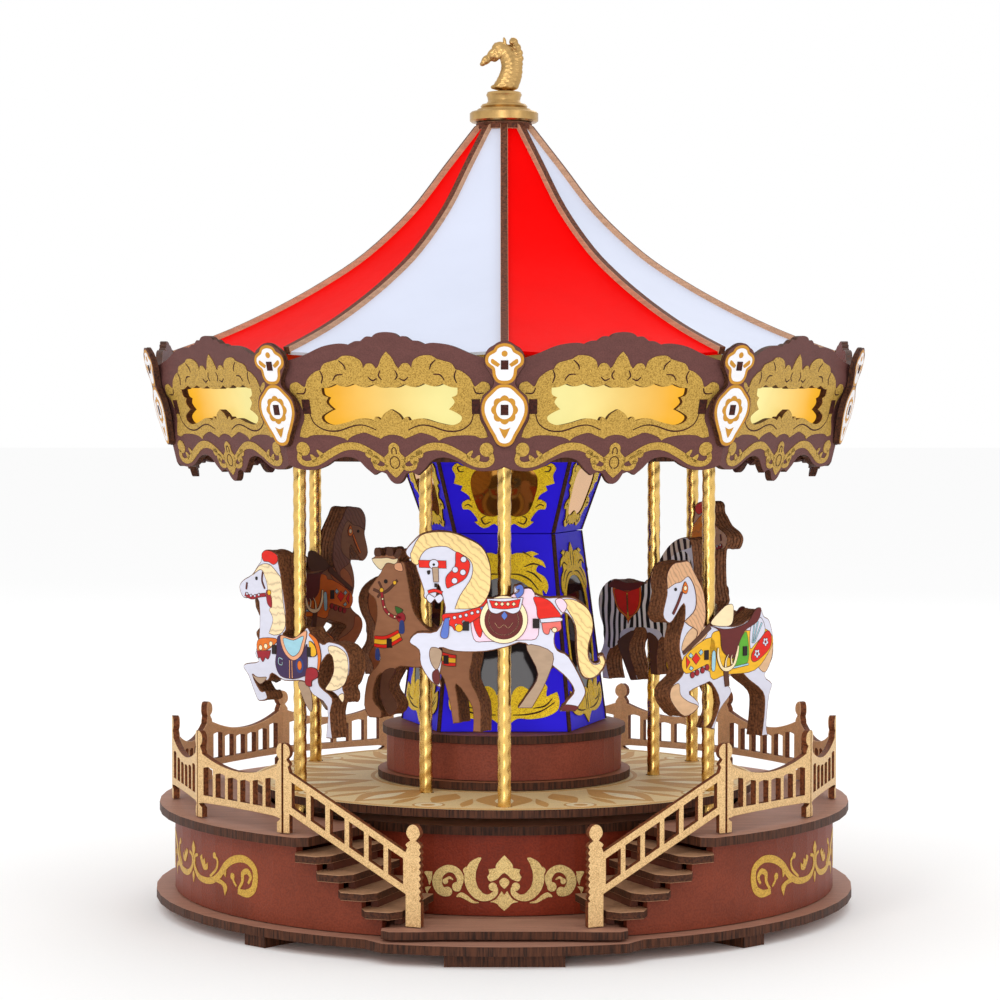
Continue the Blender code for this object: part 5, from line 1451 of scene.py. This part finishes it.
def prancer_paint():
    """Prancing horse with a hooded bridle, breast band and round saddle."""
    lozenges = [loop([(x, -2.2, 1), (x + 0.7, -1.5, 1), (x + 1.4, -2.2, 1), (x + 0.7, -2.9, 1)])
                for x in (-3.6, -1.8, 0.0, 1.8)]
    return [
        ("taupe", [
            loop([
                (-15, -17.5), (-13, -26), (-8.5, -34.4, 1), (-4.2, -34.4, 1), (-6.6, -31),
                (-10.4, -24), (-6.8, -15)]),
            loop([
                (22.4, -15.6), (19.4, -16.6), (19.8, -20.4), (21.0, -22.6), (22.6, -20.6),
                (23.2, -17.6)])]),
        ("maroon", [
            loop([(20.4, -22.6), (22.2, -23.4), (22.0, -26.2), (20.2, -27.0)]),
            loop([(-17.4, -35.2, 1), (-22, -35.2, 1), (-22.8, -34), (-18.6, -33.4)])]),
        ("pink", [
            loop([
                (10, -4), (9.5, -13), (5, -13.8), (-5, -13.4), (-10.5, -11.8), (-9.3, 1.2),
                (-5, 2.2), (0, -1), (5, -2)])]),
        ("red", [
            loop([
                (-9.1, 0), (-13.3, -0.8), (-16, -3.6), (-17.2, -6.3), (-10.9, -6.9),
                (-9.9, -3.2)]),
            loop([(5, -0.4), (9.6, -3.4), (9.4, -9), (7.4, -12.6), (6.2, -7)])]),
        ("white", [loop([(-11, -6.8, 1), (-17.2, -6.3), (-17.4, -7.6), (-11.2, -8.0, 1)])]),
        ("coral", [
            loop([
                (-11.5, -8.1, 1), (-17.4, -7.5, 1), (-17.6, -9.9), (-15.6, -11), (-14.2, -9.8, 1),
                (-13.6, -11.6), (-12.1, -11)])]),
        ("blond_hair", [
            loop([
                (29, 13.3, 1), (26.5, 18.3), (23.2, 19.9), (17, 20), (12, 18.3), (7, 15.4),
                (4.6, 10.4), (4.2, 5), (5, 0.6), (8.3, -3.3), (15.3, -3.7, 1), (13.7, 0.4),
                (10.3, 5.8), (9.9, 10), (12, 12.5), (15.3, 14.1), (18.2, 15.6), (23.2, 15.1),
                (25.7, 12.9), (26.7, 10), (28.6, 10.8)]),
            loop([
                (-17.6, -1.2), (-21.2, -0.8), (-25.5, -3.4), (-27.2, -7), (-27.2, -10.5),
                (-26, -14.8), (-26, -18.8), (-27.6, -20.9), (-29.6, -20.4), (-29.3, -18.6),
                (-30.4, -18.2), (-31.1, -20.4), (-29.7, -23.1), (-27.4, -25), (-24.8, -24.8),
                (-23.2, -22), (-22.4, -16), (-22, -9), (-19.4, -3.8)])]),
        ("pink", [loop([(-15.7, -1.4), (-17.6, -0.4), (-19.4, -2.6), (-18, -4.9)])]),
        ("red", [
            loop([
                (14.9, 13.9), (12, 12.2), (10.6, 10), (12, 5.8), (16.2, 3.3), (17.8, 2.9),
                (18, 6.2), (15.3, 9.5)]),
            [Vector(spot) for spot in ((26.6, 11.4), (18.0, 11.2), (17.9, 8.8), (26.3, 9.1))],
            stroke([(23.6, 1.5), (21.4, 2.0), (19.2, 1.2)], (1.0, 1.0))]),
        ("white", [circle(21.8, 10.1, 1.5)]),
        ("white", [
            loop([
                (23.4, 0.9), (21.6, -0.1, 1), (19.8, 0.9), (18.9, -0.6), (20.4, -2.0),
                (21.5, -0.6, 1), (22.8, -1.9), (24.1, -0.5)])]),
        ("white", dots(0.95, (12.6, 11.6), (12.8, 7.6), (15.4, 5.0), (15.2, 8.4))),
        ("taupe", [loop([(22.3, 9.2, 1), (20.4, 9.2, 1), (20.3, 4.6, 1), (21.9, 4.6, 1)])]),
        ("black", [
            loop([(23.9, 8.0), (22.9, 8.2), (23.0, 7.2), (23.6, 6.9)]), circle(21.8, 10.0, 0.4),
            rectangle(21.2, 3.6, 0.9, 1.2)]),
        ("red", [
            loop([
                (19.1, -5.4), (13.7, -4.8), (7.9, -3.2), (5, -2.9), (6.2, -5), (10.3, -7.9),
                (13.7, -9.5), (15.3, -10.4), (16.2, -9.2), (18.4, -8.1)])]),
        ("white", dots(0.55, (8.2, -4.6), (10.0, -5.0), (11.8, -5.6), (13.6, -6.0), (15.4, -6.4),
                       (17.2, -6.8), (12.6, -7.8), (14.8, -8.8))),
        ("blue", [
            loop([(17.0, -6.4, 1), (18.4, -6.6, 1), (19.8, -12), (17.4, -12.4)]),
            loop([(5.6, -2.6, 1), (7.6, -3.2, 1), (6.8, -4.6, 1), (5.4, -4.0, 1)])]),
        ("yellow", [circle(14, -9.6, 1.2)]), ("cream", [circle(0.2, -7, 7.4, 36)]),
        ("maroon", [circle(0.2, -7.2, 5.9, 32)]),
        ("peach", [
            ribbon(circle(0.2, -7.2, 4.6, 28) + [Vector((0.2, -11.8))], (0.22, 0.22)),
            stroke([(-2.6, -8), (-1.2, -9.6), (0.2, -8.6), (1.6, -9.6), (3, -8)], (0.3, 0.3))]),
        ("white", [
            loop([
                (5.4, -0.6, 1), (4.6, -4.2), (2.4, -5.2), (0, -4.4), (-2.6, -5.2), (-4.8, -4.0),
                (-5.8, -0.2, 1)])]),
        ("red", [
            loop([
                (4.7, -1.0, 1), (0, -1.4), (-5, -0.6, 1), (-4.4, -3.2, 1), (0, -3.8),
                (3.8, -3.4, 1)])]), ("cream", lozenges),
        ("blue", [
            loop([(0, -4.4, 1), (1.0, -5.8), (0, -7.2, 1), (-1.0, -5.8)]),
            stroke([(-3.6, 0.2), (-5.2, 1.4), (-5.0, 3.2), (-3.6, 2.6)], (1.7, 1.2))]),
        ("black", [rectangle(11.9, -9.0, 2.0, 2.9), rectangle(-9.8, -8.2, 2.1, 3.0)]),
        ("cream", [circle(-15.5, -10.2, 0.8)])]


def parade_paint(cloth="yellow", mane="tan_hair", patch="tan", wedge="green",
                 strap="maroon", horn="cream"):
    """Parade horse with a fringed breast cloth and a high-backed saddle."""
    return [
        (patch, [
            loop([
                (21.4, -18.2), (21.4, -22.3), (15.1, -27.6), (8.6, -25), (13.4, -23),
                (17.0, -20.6), (17.8, -17)]),
            loop([(14.0, -1), (7.6, 1.6), (4.4, -2), (11, -6), (16.6, -6.4)]),
            loop([(-22.6, -8), (-27.6, -6), (-27.6, -11), (-24.2, -16), (-20.2, -13)])]),
        (cloth, [
            loop([(15.6, -8.6), (2.2, -3), (0, -12), (3.6, -14), (5.4, -12), (14.6, -14.0)]),
            loop([
                (2.7, -3.5), (-1.8, -1), (-16, -1.8), (-23.6, -1.5), (-27.8, -4.5), (-26.8, -8.5),
                (-19, -15), (-5, -15.6), (2.7, -16)])]),
        (wedge, [loop([(-8, -12.8), (-10.8, -6), (-14.8, -2.2), (-15.6, -12.0)])]),
        ("sky", [
            stroke([(-7.4, -13.6), (-15.8, -12.8)], (0.7, 0.7)),
            loop([(2.0, -8), (0.4, -8), (0.6, -13.5), (2.2, -13.5)])]),
        ("white", [loop([(-16.6, -7.5), (-17, -0.6), (-21.8, 2.2), (-24.0, -2.5), (-19, -6.5)])]),
        ("sky", [
            stroke([(-17.6, -6.0), (-18.6, 0.0)], (0.5, 0.7)),
            stroke([(-18.2, -6.0), (-20.4, 1.0)], (0.5, 0.7)),
            stroke([(-18.6, -6.0), (-22.4, 0.4)], (0.5, 0.7))]),
        ("red", [
            loop([(-17.4, -9.5), (-24.4, -2.6), (-27.1, -4), (-26.3, -8.3), (-19, -12.3)]),
            loop([(9.8, -7.6, 1), (11.8, -9.5, 1), (9.8, -11.4, 1), (7.8, -9.5, 1)]),
            loop([(14.6, -8.4, 1), (14.4, -12.4, 1), (12.6, -10.4, 1)])]),
        ("sky", [
            loop([(7.4, -6.6, 1), (8.6, -7.6, 1), (7.6, -8.6, 1), (6.4, -7.6, 1)]),
            loop([(12.4, -7.4, 1), (13.4, -8.4, 1), (12.2, -9.2, 1), (11.2, -8.4, 1)]),
            loop([(12.4, -11.6, 1), (13.2, -12.6, 1), (12.0, -13.2, 1), (11.0, -12.4, 1)])]),
        ("white", [scalloped(-20.0, -9.6, 1.5, 5, 0.6), scalloped(-24.2, -6.0, 1.5, 5, 0.6)]),
        ("crimson", dots(0.45, (-20.0, -9.6), (-24.2, -6.0))),
        (mane, [
            loop([
                (23.4, 13.5, 1), (23.6, 18), (21, 21.2), (17, 21.8), (13.4, 21.8), (11.4, 19),
                (8.8, 15.5), (6.6, 12), (5.6, 7.5), (5.6, 2.5), (8, -1.5), (9.8, -3, 1),
                (9.4, -0.5), (13.4, 1.5), (15.4, 2.8, 1), (10.3, 6.5), (10.3, 12.5), (13.4, 17),
                (17, 15.5), (20, 15)])]),
        ("orange", [loop([(15.2, 15.5), (13.8, 13.5), (14.6, 11.6), (16.6, 12.6)])]),
        ("cream", [circle(15.1, 13.4, 0.8)]),
        (strap, [stroke([(20.8, 5.4), (18.6, 8.6), (16.6, 12.2)], (0.9, 0.9))]),
        ("black", dots(0.55, (19.6, 13.2))),
        ("crimson", dots(1.0, (11.6, -14.6), (9.4, -14.0), (6.8, -13.4), (4.6, -12.6))),
        (horn, [loop([(3, 1.6), (-2.6, 6.0), (-5.6, 7.2), (-8, 6.5), (-7.4, 1.0), (-3, 0.2)])]),
        ("maroon", [
            loop([
                (4, 1), (-2.7, -0.6), (-8.5, -0.6), (-15.2, 1), (-19.2, 5), (-21.8, 5), (-20, 1),
                (-13.4, -2), (-10, -7.5), (-7.6, -10.5), (-2.7, -7.4), (-1.4, -1.2)])]),
        ("umber", [
            stroke([(16.0, -7.4), (9.6, -3.6), (3.2, 0.6)], (1.2, 1.5, 2.0)),
            loop([(-3.4, -14.4, 1), (-4.2, -19.4, 1), (-6.2, -19.2, 1), (-5.6, -14.2, 1)])]),
        ("cream", [
            stroke([
                (-0.6, -6.6), (-0.8, -10), (-2.6, -13.2), (-5.4, -13.8), (-8.2, -12.6),
                (-9.8, -9.4), (-10.6, -6.4)], (0.7, 1.3, 1.1, 1.5, 1.1, 1.3, 0.6)),
            stroke([(-4.2, -13.2), (-4.6, -10.6), (-5.8, -9.0)], (1.0, 0.3)),
            stroke([(-7.4, -12.4), (-7.0, -10.4), (-7.6, -9.2)], (0.9, 0.3))]),
        ("black", [rectangle(4.9, -8.6, 2.0, 3.1), rectangle(-13.9, -8.4, 2.0, 3.1)])]


def plumed_paint(mane="cream_hair", saddle=True):
    """Pony with a head plume, ruffled mane and a bib seat."""
    shapes = [
        ("taupe", [
            loop([(-7.2, -17.6), (-3, -17.6), (-6.4, -24), (-9.6, -26.5), (-9.6, -21.2)]),
            loop([(12.6, -17.0), (17, -17.2), (20, -16.6), (16, -19.4)])]),
        (mane, [
            loop([
                (19.6, 16), (16, 19.5), (11.2, 20), (7.2, 17.4), (5.3, 15.4), (4.6, 10),
                (4.0, 6.5), (3.2, 3), (3.4, 0), (5.5, -2.3), (9, -3, 1), (11.5, -2.5, 1), (9.4, 2),
                (11.2, 5, 1), (10, 8), (12, 10.5, 1), (12.5, 14), (15, 18), (18.2, 17)]),
            loop([
                (-18, -5.0), (-22, -5.0), (-26.2, -7), (-27.2, -11), (-26.8, -14), (-25, -17),
                (-20.5, -19), (-16.4, -18.8), (-18.6, -16), (-20.4, -12.5), (-19.8, -8.5),
                (-18, -7)]),
            loop([(-22.6, -20.6), (-24.8, -19.6), (-25.2, -21.2), (-24.4, -22.4)])]),
        ("red", [
            loop([
                (15.0, 23), (13.5, 24.4), (10.5, 24.4), (7.4, 23.2), (7.0, 21.2), (9, 20),
                (11.5, 20.8), (14.0, 21.0)])]),
        ("orange", [loop([(16.4, -4.6), (8, -4), (8.5, -6), (15, -9), (17.4, -8.2)])]),
        ("cream", dots(0.9, (10.4, -5.9), (13.0, -6.8), (15.6, -7.4))),
        ("crimson", [
            loop([
                (17.6, -8.6, 1), (10.5, -8, 1), (11, -9.8), (12, -11), (13.2, -10.4, 1),
                (14.5, -12), (15.8, -10.6, 1), (16.8, -10.8)]),
            stroke([(23.4, 9.8), (20, 8.8), (16.4, 9.6), (13, 10)], (1.2, 1.2)),
            loop([(12.6, 11.5), (10.2, 9.6), (10.0, 6), (12.2, 7.4)])]),
        ("yellow", [circle(11.2, 10.8, 0.9)]),
        ("white", dots(0.5, (22.4, 9.9), (20.4, 9.4), (18.4, 9.4), (16.4, 9.9))),
        ("black", dots(0.6, (17.6, 15.2))),
        ("maroon", [
            stroke([(14.4, 17.4), (14.8, 14.6), (13.4, 12.0)], (0.5, 0.5)),
            stroke([(22.4, 13.6), (22.8, 11.4)], (0.6, 0.6))])]
    if saddle:
        shapes += [
            ("purple", [
                loop([
                    (7, -3.5), (4, -3), (3, -7), (-1.5, -10), (-5, -8.5), (-7.5, -5), (-7.5, -14),
                    (-5.5, -15.5), (-0.5, -16.6), (5.5, -16), (8, -12.5), (7.5, -8.5)])]),
            ("peach", [
                loop([
                    (5.4, -2.9), (-1, -3.4), (-7.2, -0.6), (-6.4, -5.2), (-4.6, -8.8),
                    (-0.6, -10.6), (3.8, -8)])]),
            ("sky", [
                loop([
                    (4.0, -3.6), (-1, -4), (-5.8, -2.4), (-5.0, -5), (-3.6, -7.8), (-0.6, -9.3),
                    (2.6, -7.3)]),
                stroke([(4.4, -10.6), (6.2, -10.2), (6.4, -12), (4.8, -12.4), (4.6, -11.4)],
                       (0.5, 0.4))]), ("navy", [circle(-4, -12, 1.9, 20, 1.3)]),
            ("orange", [
                circle(-4, -12, 1.1, 18, 1.4),
                stroke([(-8.6, -1.6), (-12, -4), (-13.6, -8.5), (-13, -13)],
                       (0.8, 1.8, 1.6, 0.9))]),
            ("peach", [
                stroke([(-0.2, -10.6), (-0.4, -16.4)], (0.5, 0.5)),
                stroke([(0.9, -10.6), (0.9, -16.5)], (0.5, 0.5))]),
            ("crimson", [
                loop([
                    (-7.8, -12.6), (-12, -12.6), (-13, -15), (-10, -16.6), (-9.6, -18.4),
                    (-7.0, -18.0), (-6.8, -15.4)])]),
            ("yellow", [loop([(-8.6, -4), (-11.4, -5.2), (-12.2, -8), (-9.6, -8.6)])])]
    else:
        shapes += [
            ("red", [
                loop([
                    (6, -3), (0, -3.6), (-6.6, -1.4), (-9.6, -9), (-7, -15.5), (0, -16.6),
                    (7, -14)])]),
            ("orange", [stroke([(6.6, -4), (3, -9), (-2, -10.4), (-6.6, -7)], (1.3, 1.6, 1.3))])]
    return shapes + [("black", [rectangle(8.7, -7.6, 2.0, 3.0), rectangle(-8.6, -7.4, 2.0, 3.2)])]


def zebra_paint(main="stripes", mane="bristles"):
    """Zebra-shaped pony with a small saddlecloth."""
    return [
        (main, [
            loop([
                (-24.8, 4.4), (-18.5, 7.2), (-10, 6.3), (0.5, 6.8), (8, 11), (15, 17),
                (22.5, 18.5), (26.4, 13.5), (28.6, 7), (25.8, 4.8), (20, 8.8), (16.4, 11),
                (13.2, 4.4), (13.4, 0), (14.4, -5), (14.8, -11.4, 1), (9.8, -10.4, 1), (6.6, -8.2),
                (-5.4, -8.2), (-13.8, -10), (-15.4, -14), (-20.8, -16.4), (-24.2, -13),
                (-24.6, -9), (-26.6, -5), (-27.2, 0)])]),
        ("umber", [
            loop([
                (-15.2, -13), (-15.2, -16), (-8.6, -26.2, 1), (-4.6, -25.8, 1), (-9.7, -16),
                (-6.4, -9.4)]),
            loop([
                (1.4, -9.6), (2.5, -15), (3.2, -23.3, 1), (6.8, -23.3, 1), (6.3, -17),
                (7.1, -11.6)])]),
        (mane, [
            loop([
                (0.5, 7, 1), (6, 13), (13, 19.8), (20, 22.7), (24.8, 22.2), (25.4, 20, 1),
                (19, 18.4), (13.5, 15.8), (9, 12), (5.5, 7.8)])]),
        ("orange", [
            loop([
                (-18.4, 5), (-10, 4.4), (-3, 6.6), (-3, -1.2), (-8.4, -5.4), (-10.0, -7.4, 1),
                (-11.2, -5.2), (-15.6, -3), (-18.1, 1)])]),
        ("red", [
            loop([
                (-17.4, 4.2), (-10, 3.6), (-3.9, 5.6), (-4, -0.8), (-8.6, -4.6), (-15, -2.3),
                (-17.1, 1)])]),
        ("yellow", [stroke([(-10.5, 3.2), (-10.3, -1), (-9.8, -5.4)], (0.8, 0.8))]),
        ("forest", [stroke([(-10.5, 2.6), (-10.2, -3.4)], (0.35, 0.35))]),
        ("maroon", [
            loop([
                (-21.2, 4.8), (-18, 7.2), (-10, 6.6), (-1.8, 7.2), (-3.8, 5.2), (-11, 3.9),
                (-18, 4.6)])]), ("black", dots(0.6, (22.6, 13.6)))]


def reindeer_paint():
    """Reindeer with cream antlers and red and yellow belts."""
    belts = [((17.4, -4.6), (12.6, -4.6), (7.5, -2.2)), ((-6, -8.2), (-10, -9.4), (-13.4, -9.6))]
    shapes = [
        ("cream", [
            loop([
                (15, 18.6), (18.3, 21.9), (14.6, 22.4), (12.4, 22.6), (10.2, 22.2), (8.4, 22.4),
                (9.4, 20.6), (12.6, 20.8)])]),
        ("umber", [
            loop([(14.9, 23.2), (17.2, 23.2), (17.2, 25.2), (15.5, 25.4)]),
            loop([(12.7, 23.6), (10.4, 23.4), (10.5, 25.6), (12.5, 25.6)]),
            loop([(9.8, 23.2), (8.4, 25.3), (7.1, 24.8), (8.4, 22.6)]),
            loop([
                (9.4, -13.4), (12.2, -19), (9.8, -23), (9, -26), (11.8, -28), (15, -22),
                (14.2, -14.6)])]),
        ("peach", [loop([(9.6, 20.6), (7.2, 21), (6.6, 18.4), (9.4, 18.8)])]),
        ("umber", [
            stroke([(17.8, 12.2), (13.4, 11.4), (8.6, 15.4)], (0.9, 0.9)),
            stroke([(15.8, 14.8), (14.6, 12.2), (16.2, 9.6)], (0.7, 0.7))]),
        ("yellow", [circle(9.6, 14.6, 0.7), circle(14.6, 12.0, 0.8)]),
        ("crimson", [
            stroke([(14.6, 11.4), (13.4, 6), (10.2, 3.6), (7.0, 3.6)], (1.1, 1.1)),
            circle(7.2, 3.4, 1.7)]),
        ("cream", dots(0.4, (14.2, 9.2), (13.4, 6.6), (11.8, 4.4), (9.6, 3.6))),
        ("forest", [loop([(6.4, 5.8), (9.4, 7.0), (8.6, 4.6)])]),
        ("navy", [
            loop([(7.6, 2.2), (6.2, 2.2), (6.0, -1.4), (7.8, -1.4)]),
            loop([(16.8, -7.2), (15.6, -7.2), (15.4, -10.6), (17, -10.2)])]),
        ("black", dots(0.7, (13.0, 14.9)))]
    for points in belts:
        shapes.append(("red", [stroke(points, (3.6, 4.0, 3.6))]))
        shapes.append(("yellow", [stroke(points, (1.5, 1.7, 1.5))]))
    shapes.append(("black", [rectangle(11.6, -5.0, 2.0, 3.0), rectangle(-9.8, -9.4, 2.0, 2.8)]))
    return shapes


# Name: outline, legs left off the outer boards, twist, back height, coat, slot, paint
FAR_HIND = ((-15.5, -22), (-6.5, -14.5))
RIDERS = {
    "front": (PRANCER, FAR_HIND, 0, 107.5, "white", "rider_white", prancer_paint()),
    "front_right": (PARADE, None, 44, 95.0, "white", "rider_white", parade_paint()),
    "back_right": (PLUMED, None, 120, 109.0, "fawn", "rider_brown",
                   plumed_paint("ginger_hair", False)),
    "back": (PRANCER, FAR_HIND, 180, 93.5, "grey", "rider_brown", prancer_paint()),
    "back_left": (PARADE, None, -126, 109.0, "dun", "rider_brown",
                  parade_paint("orange", "brown_hair", "chestnut", "forest", "orange", "umber")),
    "front_left": (PLUMED, None, -45, 95.0, "white", "rider_white", plumed_paint()),
    "inner_left": (REINDEER, None, -30, 95.0, "brown", "rider_brown", reindeer_paint()),
    "inner_right": (ZEBRA, None, ZEBRA_TURN, 100.0, "white", "rider_striped", zebra_paint()),
    "inner_back": (ZEBRA, None, -150, 100.0, "chestnut", "rider_brown",
                   zebra_paint("chestnut", "brown_hair")),
}


def twisted_pole(x, y, foot, top):
    """Rod with two raised strands that wind round it."""
    mesh = bmesh.new()
    rows = []
    around = 18
    count = int((top - foot) / POLE_STEP)
    for step in range(count + 1):
        height = foot + (top - foot) * step / count
        row = []
        for index in range(around):
            angle = 360.0 * index / around
            wave = math.cos(math.radians(2 * angle - POLE_TWIST * height))
            spot = polar(POLE_RADIUS + POLE_RELIEF * wave, angle)
            row.append(mesh.verts.new((x + spot.x, y + spot.y, height)))
        rows.append(row)
    skinned(mesh, rows)
    return mesh


def without(outline, first, last):
    """The outline with the legs between two of its points left out."""
    plain = [point[:2] for point in outline]
    return outline[:plain.index(first) + 1] + outline[plain.index(last):]


def print_skin(piece, skin, coat, shapes, place):
    """One face of a rider: the coat, then every shape a little higher than the last."""
    piece.print_on([skin], PAINTS[coat], RIDER_HALF, place, 0.08)
    for level, (finish, drawn) in enumerate(shapes):
        raise_by = 0.12 + 0.016 * level
        if finish not in FINE:
            drawn = [grown(path, -0.12) for path in drawn]
            rim = [grown(path, 0.2) for path in drawn]
            piece.print_on(rim, PAINTS["line"], RIDER_HALF, place, raise_by - 0.01)
        piece.print_on(drawn, PAINTS[finish], RIDER_HALF, place, raise_by)


def make_riders():
    """Each rider is a stack of boards on a twisted pole."""
    for name, (outline, legs, turn, back, coat, slot, shapes) in RIDERS.items():
        middle = (low("pole_" + name) + high("pole_" + name)) / 2
        foot = low("pole_" + name).z + POLE_FOOT
        pole = Piece("pole_twist_" + name, "lift_" + name, "pole_brass")
        pole.add(twisted_pole(middle.x, middle.y, foot, high("pole_" + name).z), POLE_GOLD)
        pole.done("pole_" + name)

        start = middle.to_2d()
        ahead = Vector((-math.cos(math.radians(turn)), -math.sin(math.radians(turn))))
        stand = upright(start, start + ahead)
        piece = Piece("animal_" + name, "lift_" + name, slot)
        near = without(outline, *legs) if legs else outline
        for depth in RIDER_DEPTHS:
            outer = abs(depth) > 2
            shape = loop(near if outer else outline, 3)
            mesh = board([grown(shape, 0.0 if outer else -0.15)], depth - RIDER_BOARD,
                         depth + RIDER_BOARD, 0.08)
            piece.add(mesh, PAINTS["edge"], None, lifted(stand, back))
        skin = grown(loop(near, 3), -0.32)
        for flip in (1, -1):
            print_skin(piece, skin, coat, shapes, lifted(stand, back, flip))
        piece.done("rider_" + name)


# ---------------------------------------------------------------- room, light and camera

LAMPS = {"key_light": ((-0.75, -1.1, 1.0), 0.4, 3.0), "fill_light": ((0.9, -0.9, 0.6), 0.5, 1.4),
         "front_light": ((-0.15, -1.5, 0.16), 0.4, 3.6), "rim_light": ((0.2, 0.9, 0.9), 0.6, 2.0)}
LAMP_AIM = Vector((0, 0, 0.13))
FLOOR_REACH = 12.0
CAMERA_SPOT = (-0.00135, -0.9436, 0.1646)
CAMERA_DIP = 1.8                 # degrees below level
CAMERA_LENS = 100.8


def make_floor():
    nodes = Nodes("floor_paper")
    tooth = nodes.noise(900.0, 2.0)
    face = nodes.ramp(tooth, [(0.3, (0.955, 0.955, 0.955, 1)), (0.7, (0.97, 0.97, 0.97, 1))])
    paper = nodes.finish(face, (0.8, 0.9), tooth, 0.02, specular=0.0)
    mesh = bpy.data.meshes.new("floor")
    reach = FLOOR_REACH
    mesh.from_pydata([(-reach, -reach, 0), (reach, -reach, 0), (reach, reach, 0),
                      (-reach, reach, 0)], [], [(0, 1, 2, 3)])
    mesh.materials.append(paper)
    floor = bpy.data.objects.new("floor", mesh)
    bpy.context.scene.collection.objects.link(floor)


def make_lights():
    """White surroundings and four soft lamps, with sizes in metres and powers in watts."""
    world = bpy.data.worlds.new("studio")
    world.use_nodes = True
    sky = world.node_tree.nodes["Background"]
    sky.inputs["Color"].default_value = WHITE
    sky.inputs["Strength"].default_value = 1.0
    bpy.context.scene.world = world
    bpy.context.scene.view_settings.view_transform = "Standard"
    for name, (spot, size, power) in LAMPS.items():
        data = bpy.data.lights.new(name, "AREA")
        data.size = size
        data.energy = power
        lamp = bpy.data.objects.new(name, data)
        lamp.location = spot
        lamp.rotation_euler = (LAMP_AIM - Vector(spot)).to_track_quat("-Z", "Y").to_euler()
        bpy.context.scene.collection.objects.link(lamp)


def make_camera():
    data = bpy.data.cameras.new("camera")
    data.lens = CAMERA_LENS
    data.sensor_width = 36.0
    camera = bpy.data.objects.new("camera", data)
    camera.location = CAMERA_SPOT
    camera.rotation_euler = (math.radians(90.0 - CAMERA_DIP), 0.0, 0.0)
    bpy.context.scene.collection.objects.link(camera)
    bpy.context.scene.camera = camera


for make in (repaint, make_base, make_stairs, make_fences, make_handrails, make_deck, make_tower,
             make_cornice, make_medallions, make_light_strip, make_roof, make_ribs, make_stand,
             make_finial, make_riders, make_floor, make_lights, make_camera):
    make()
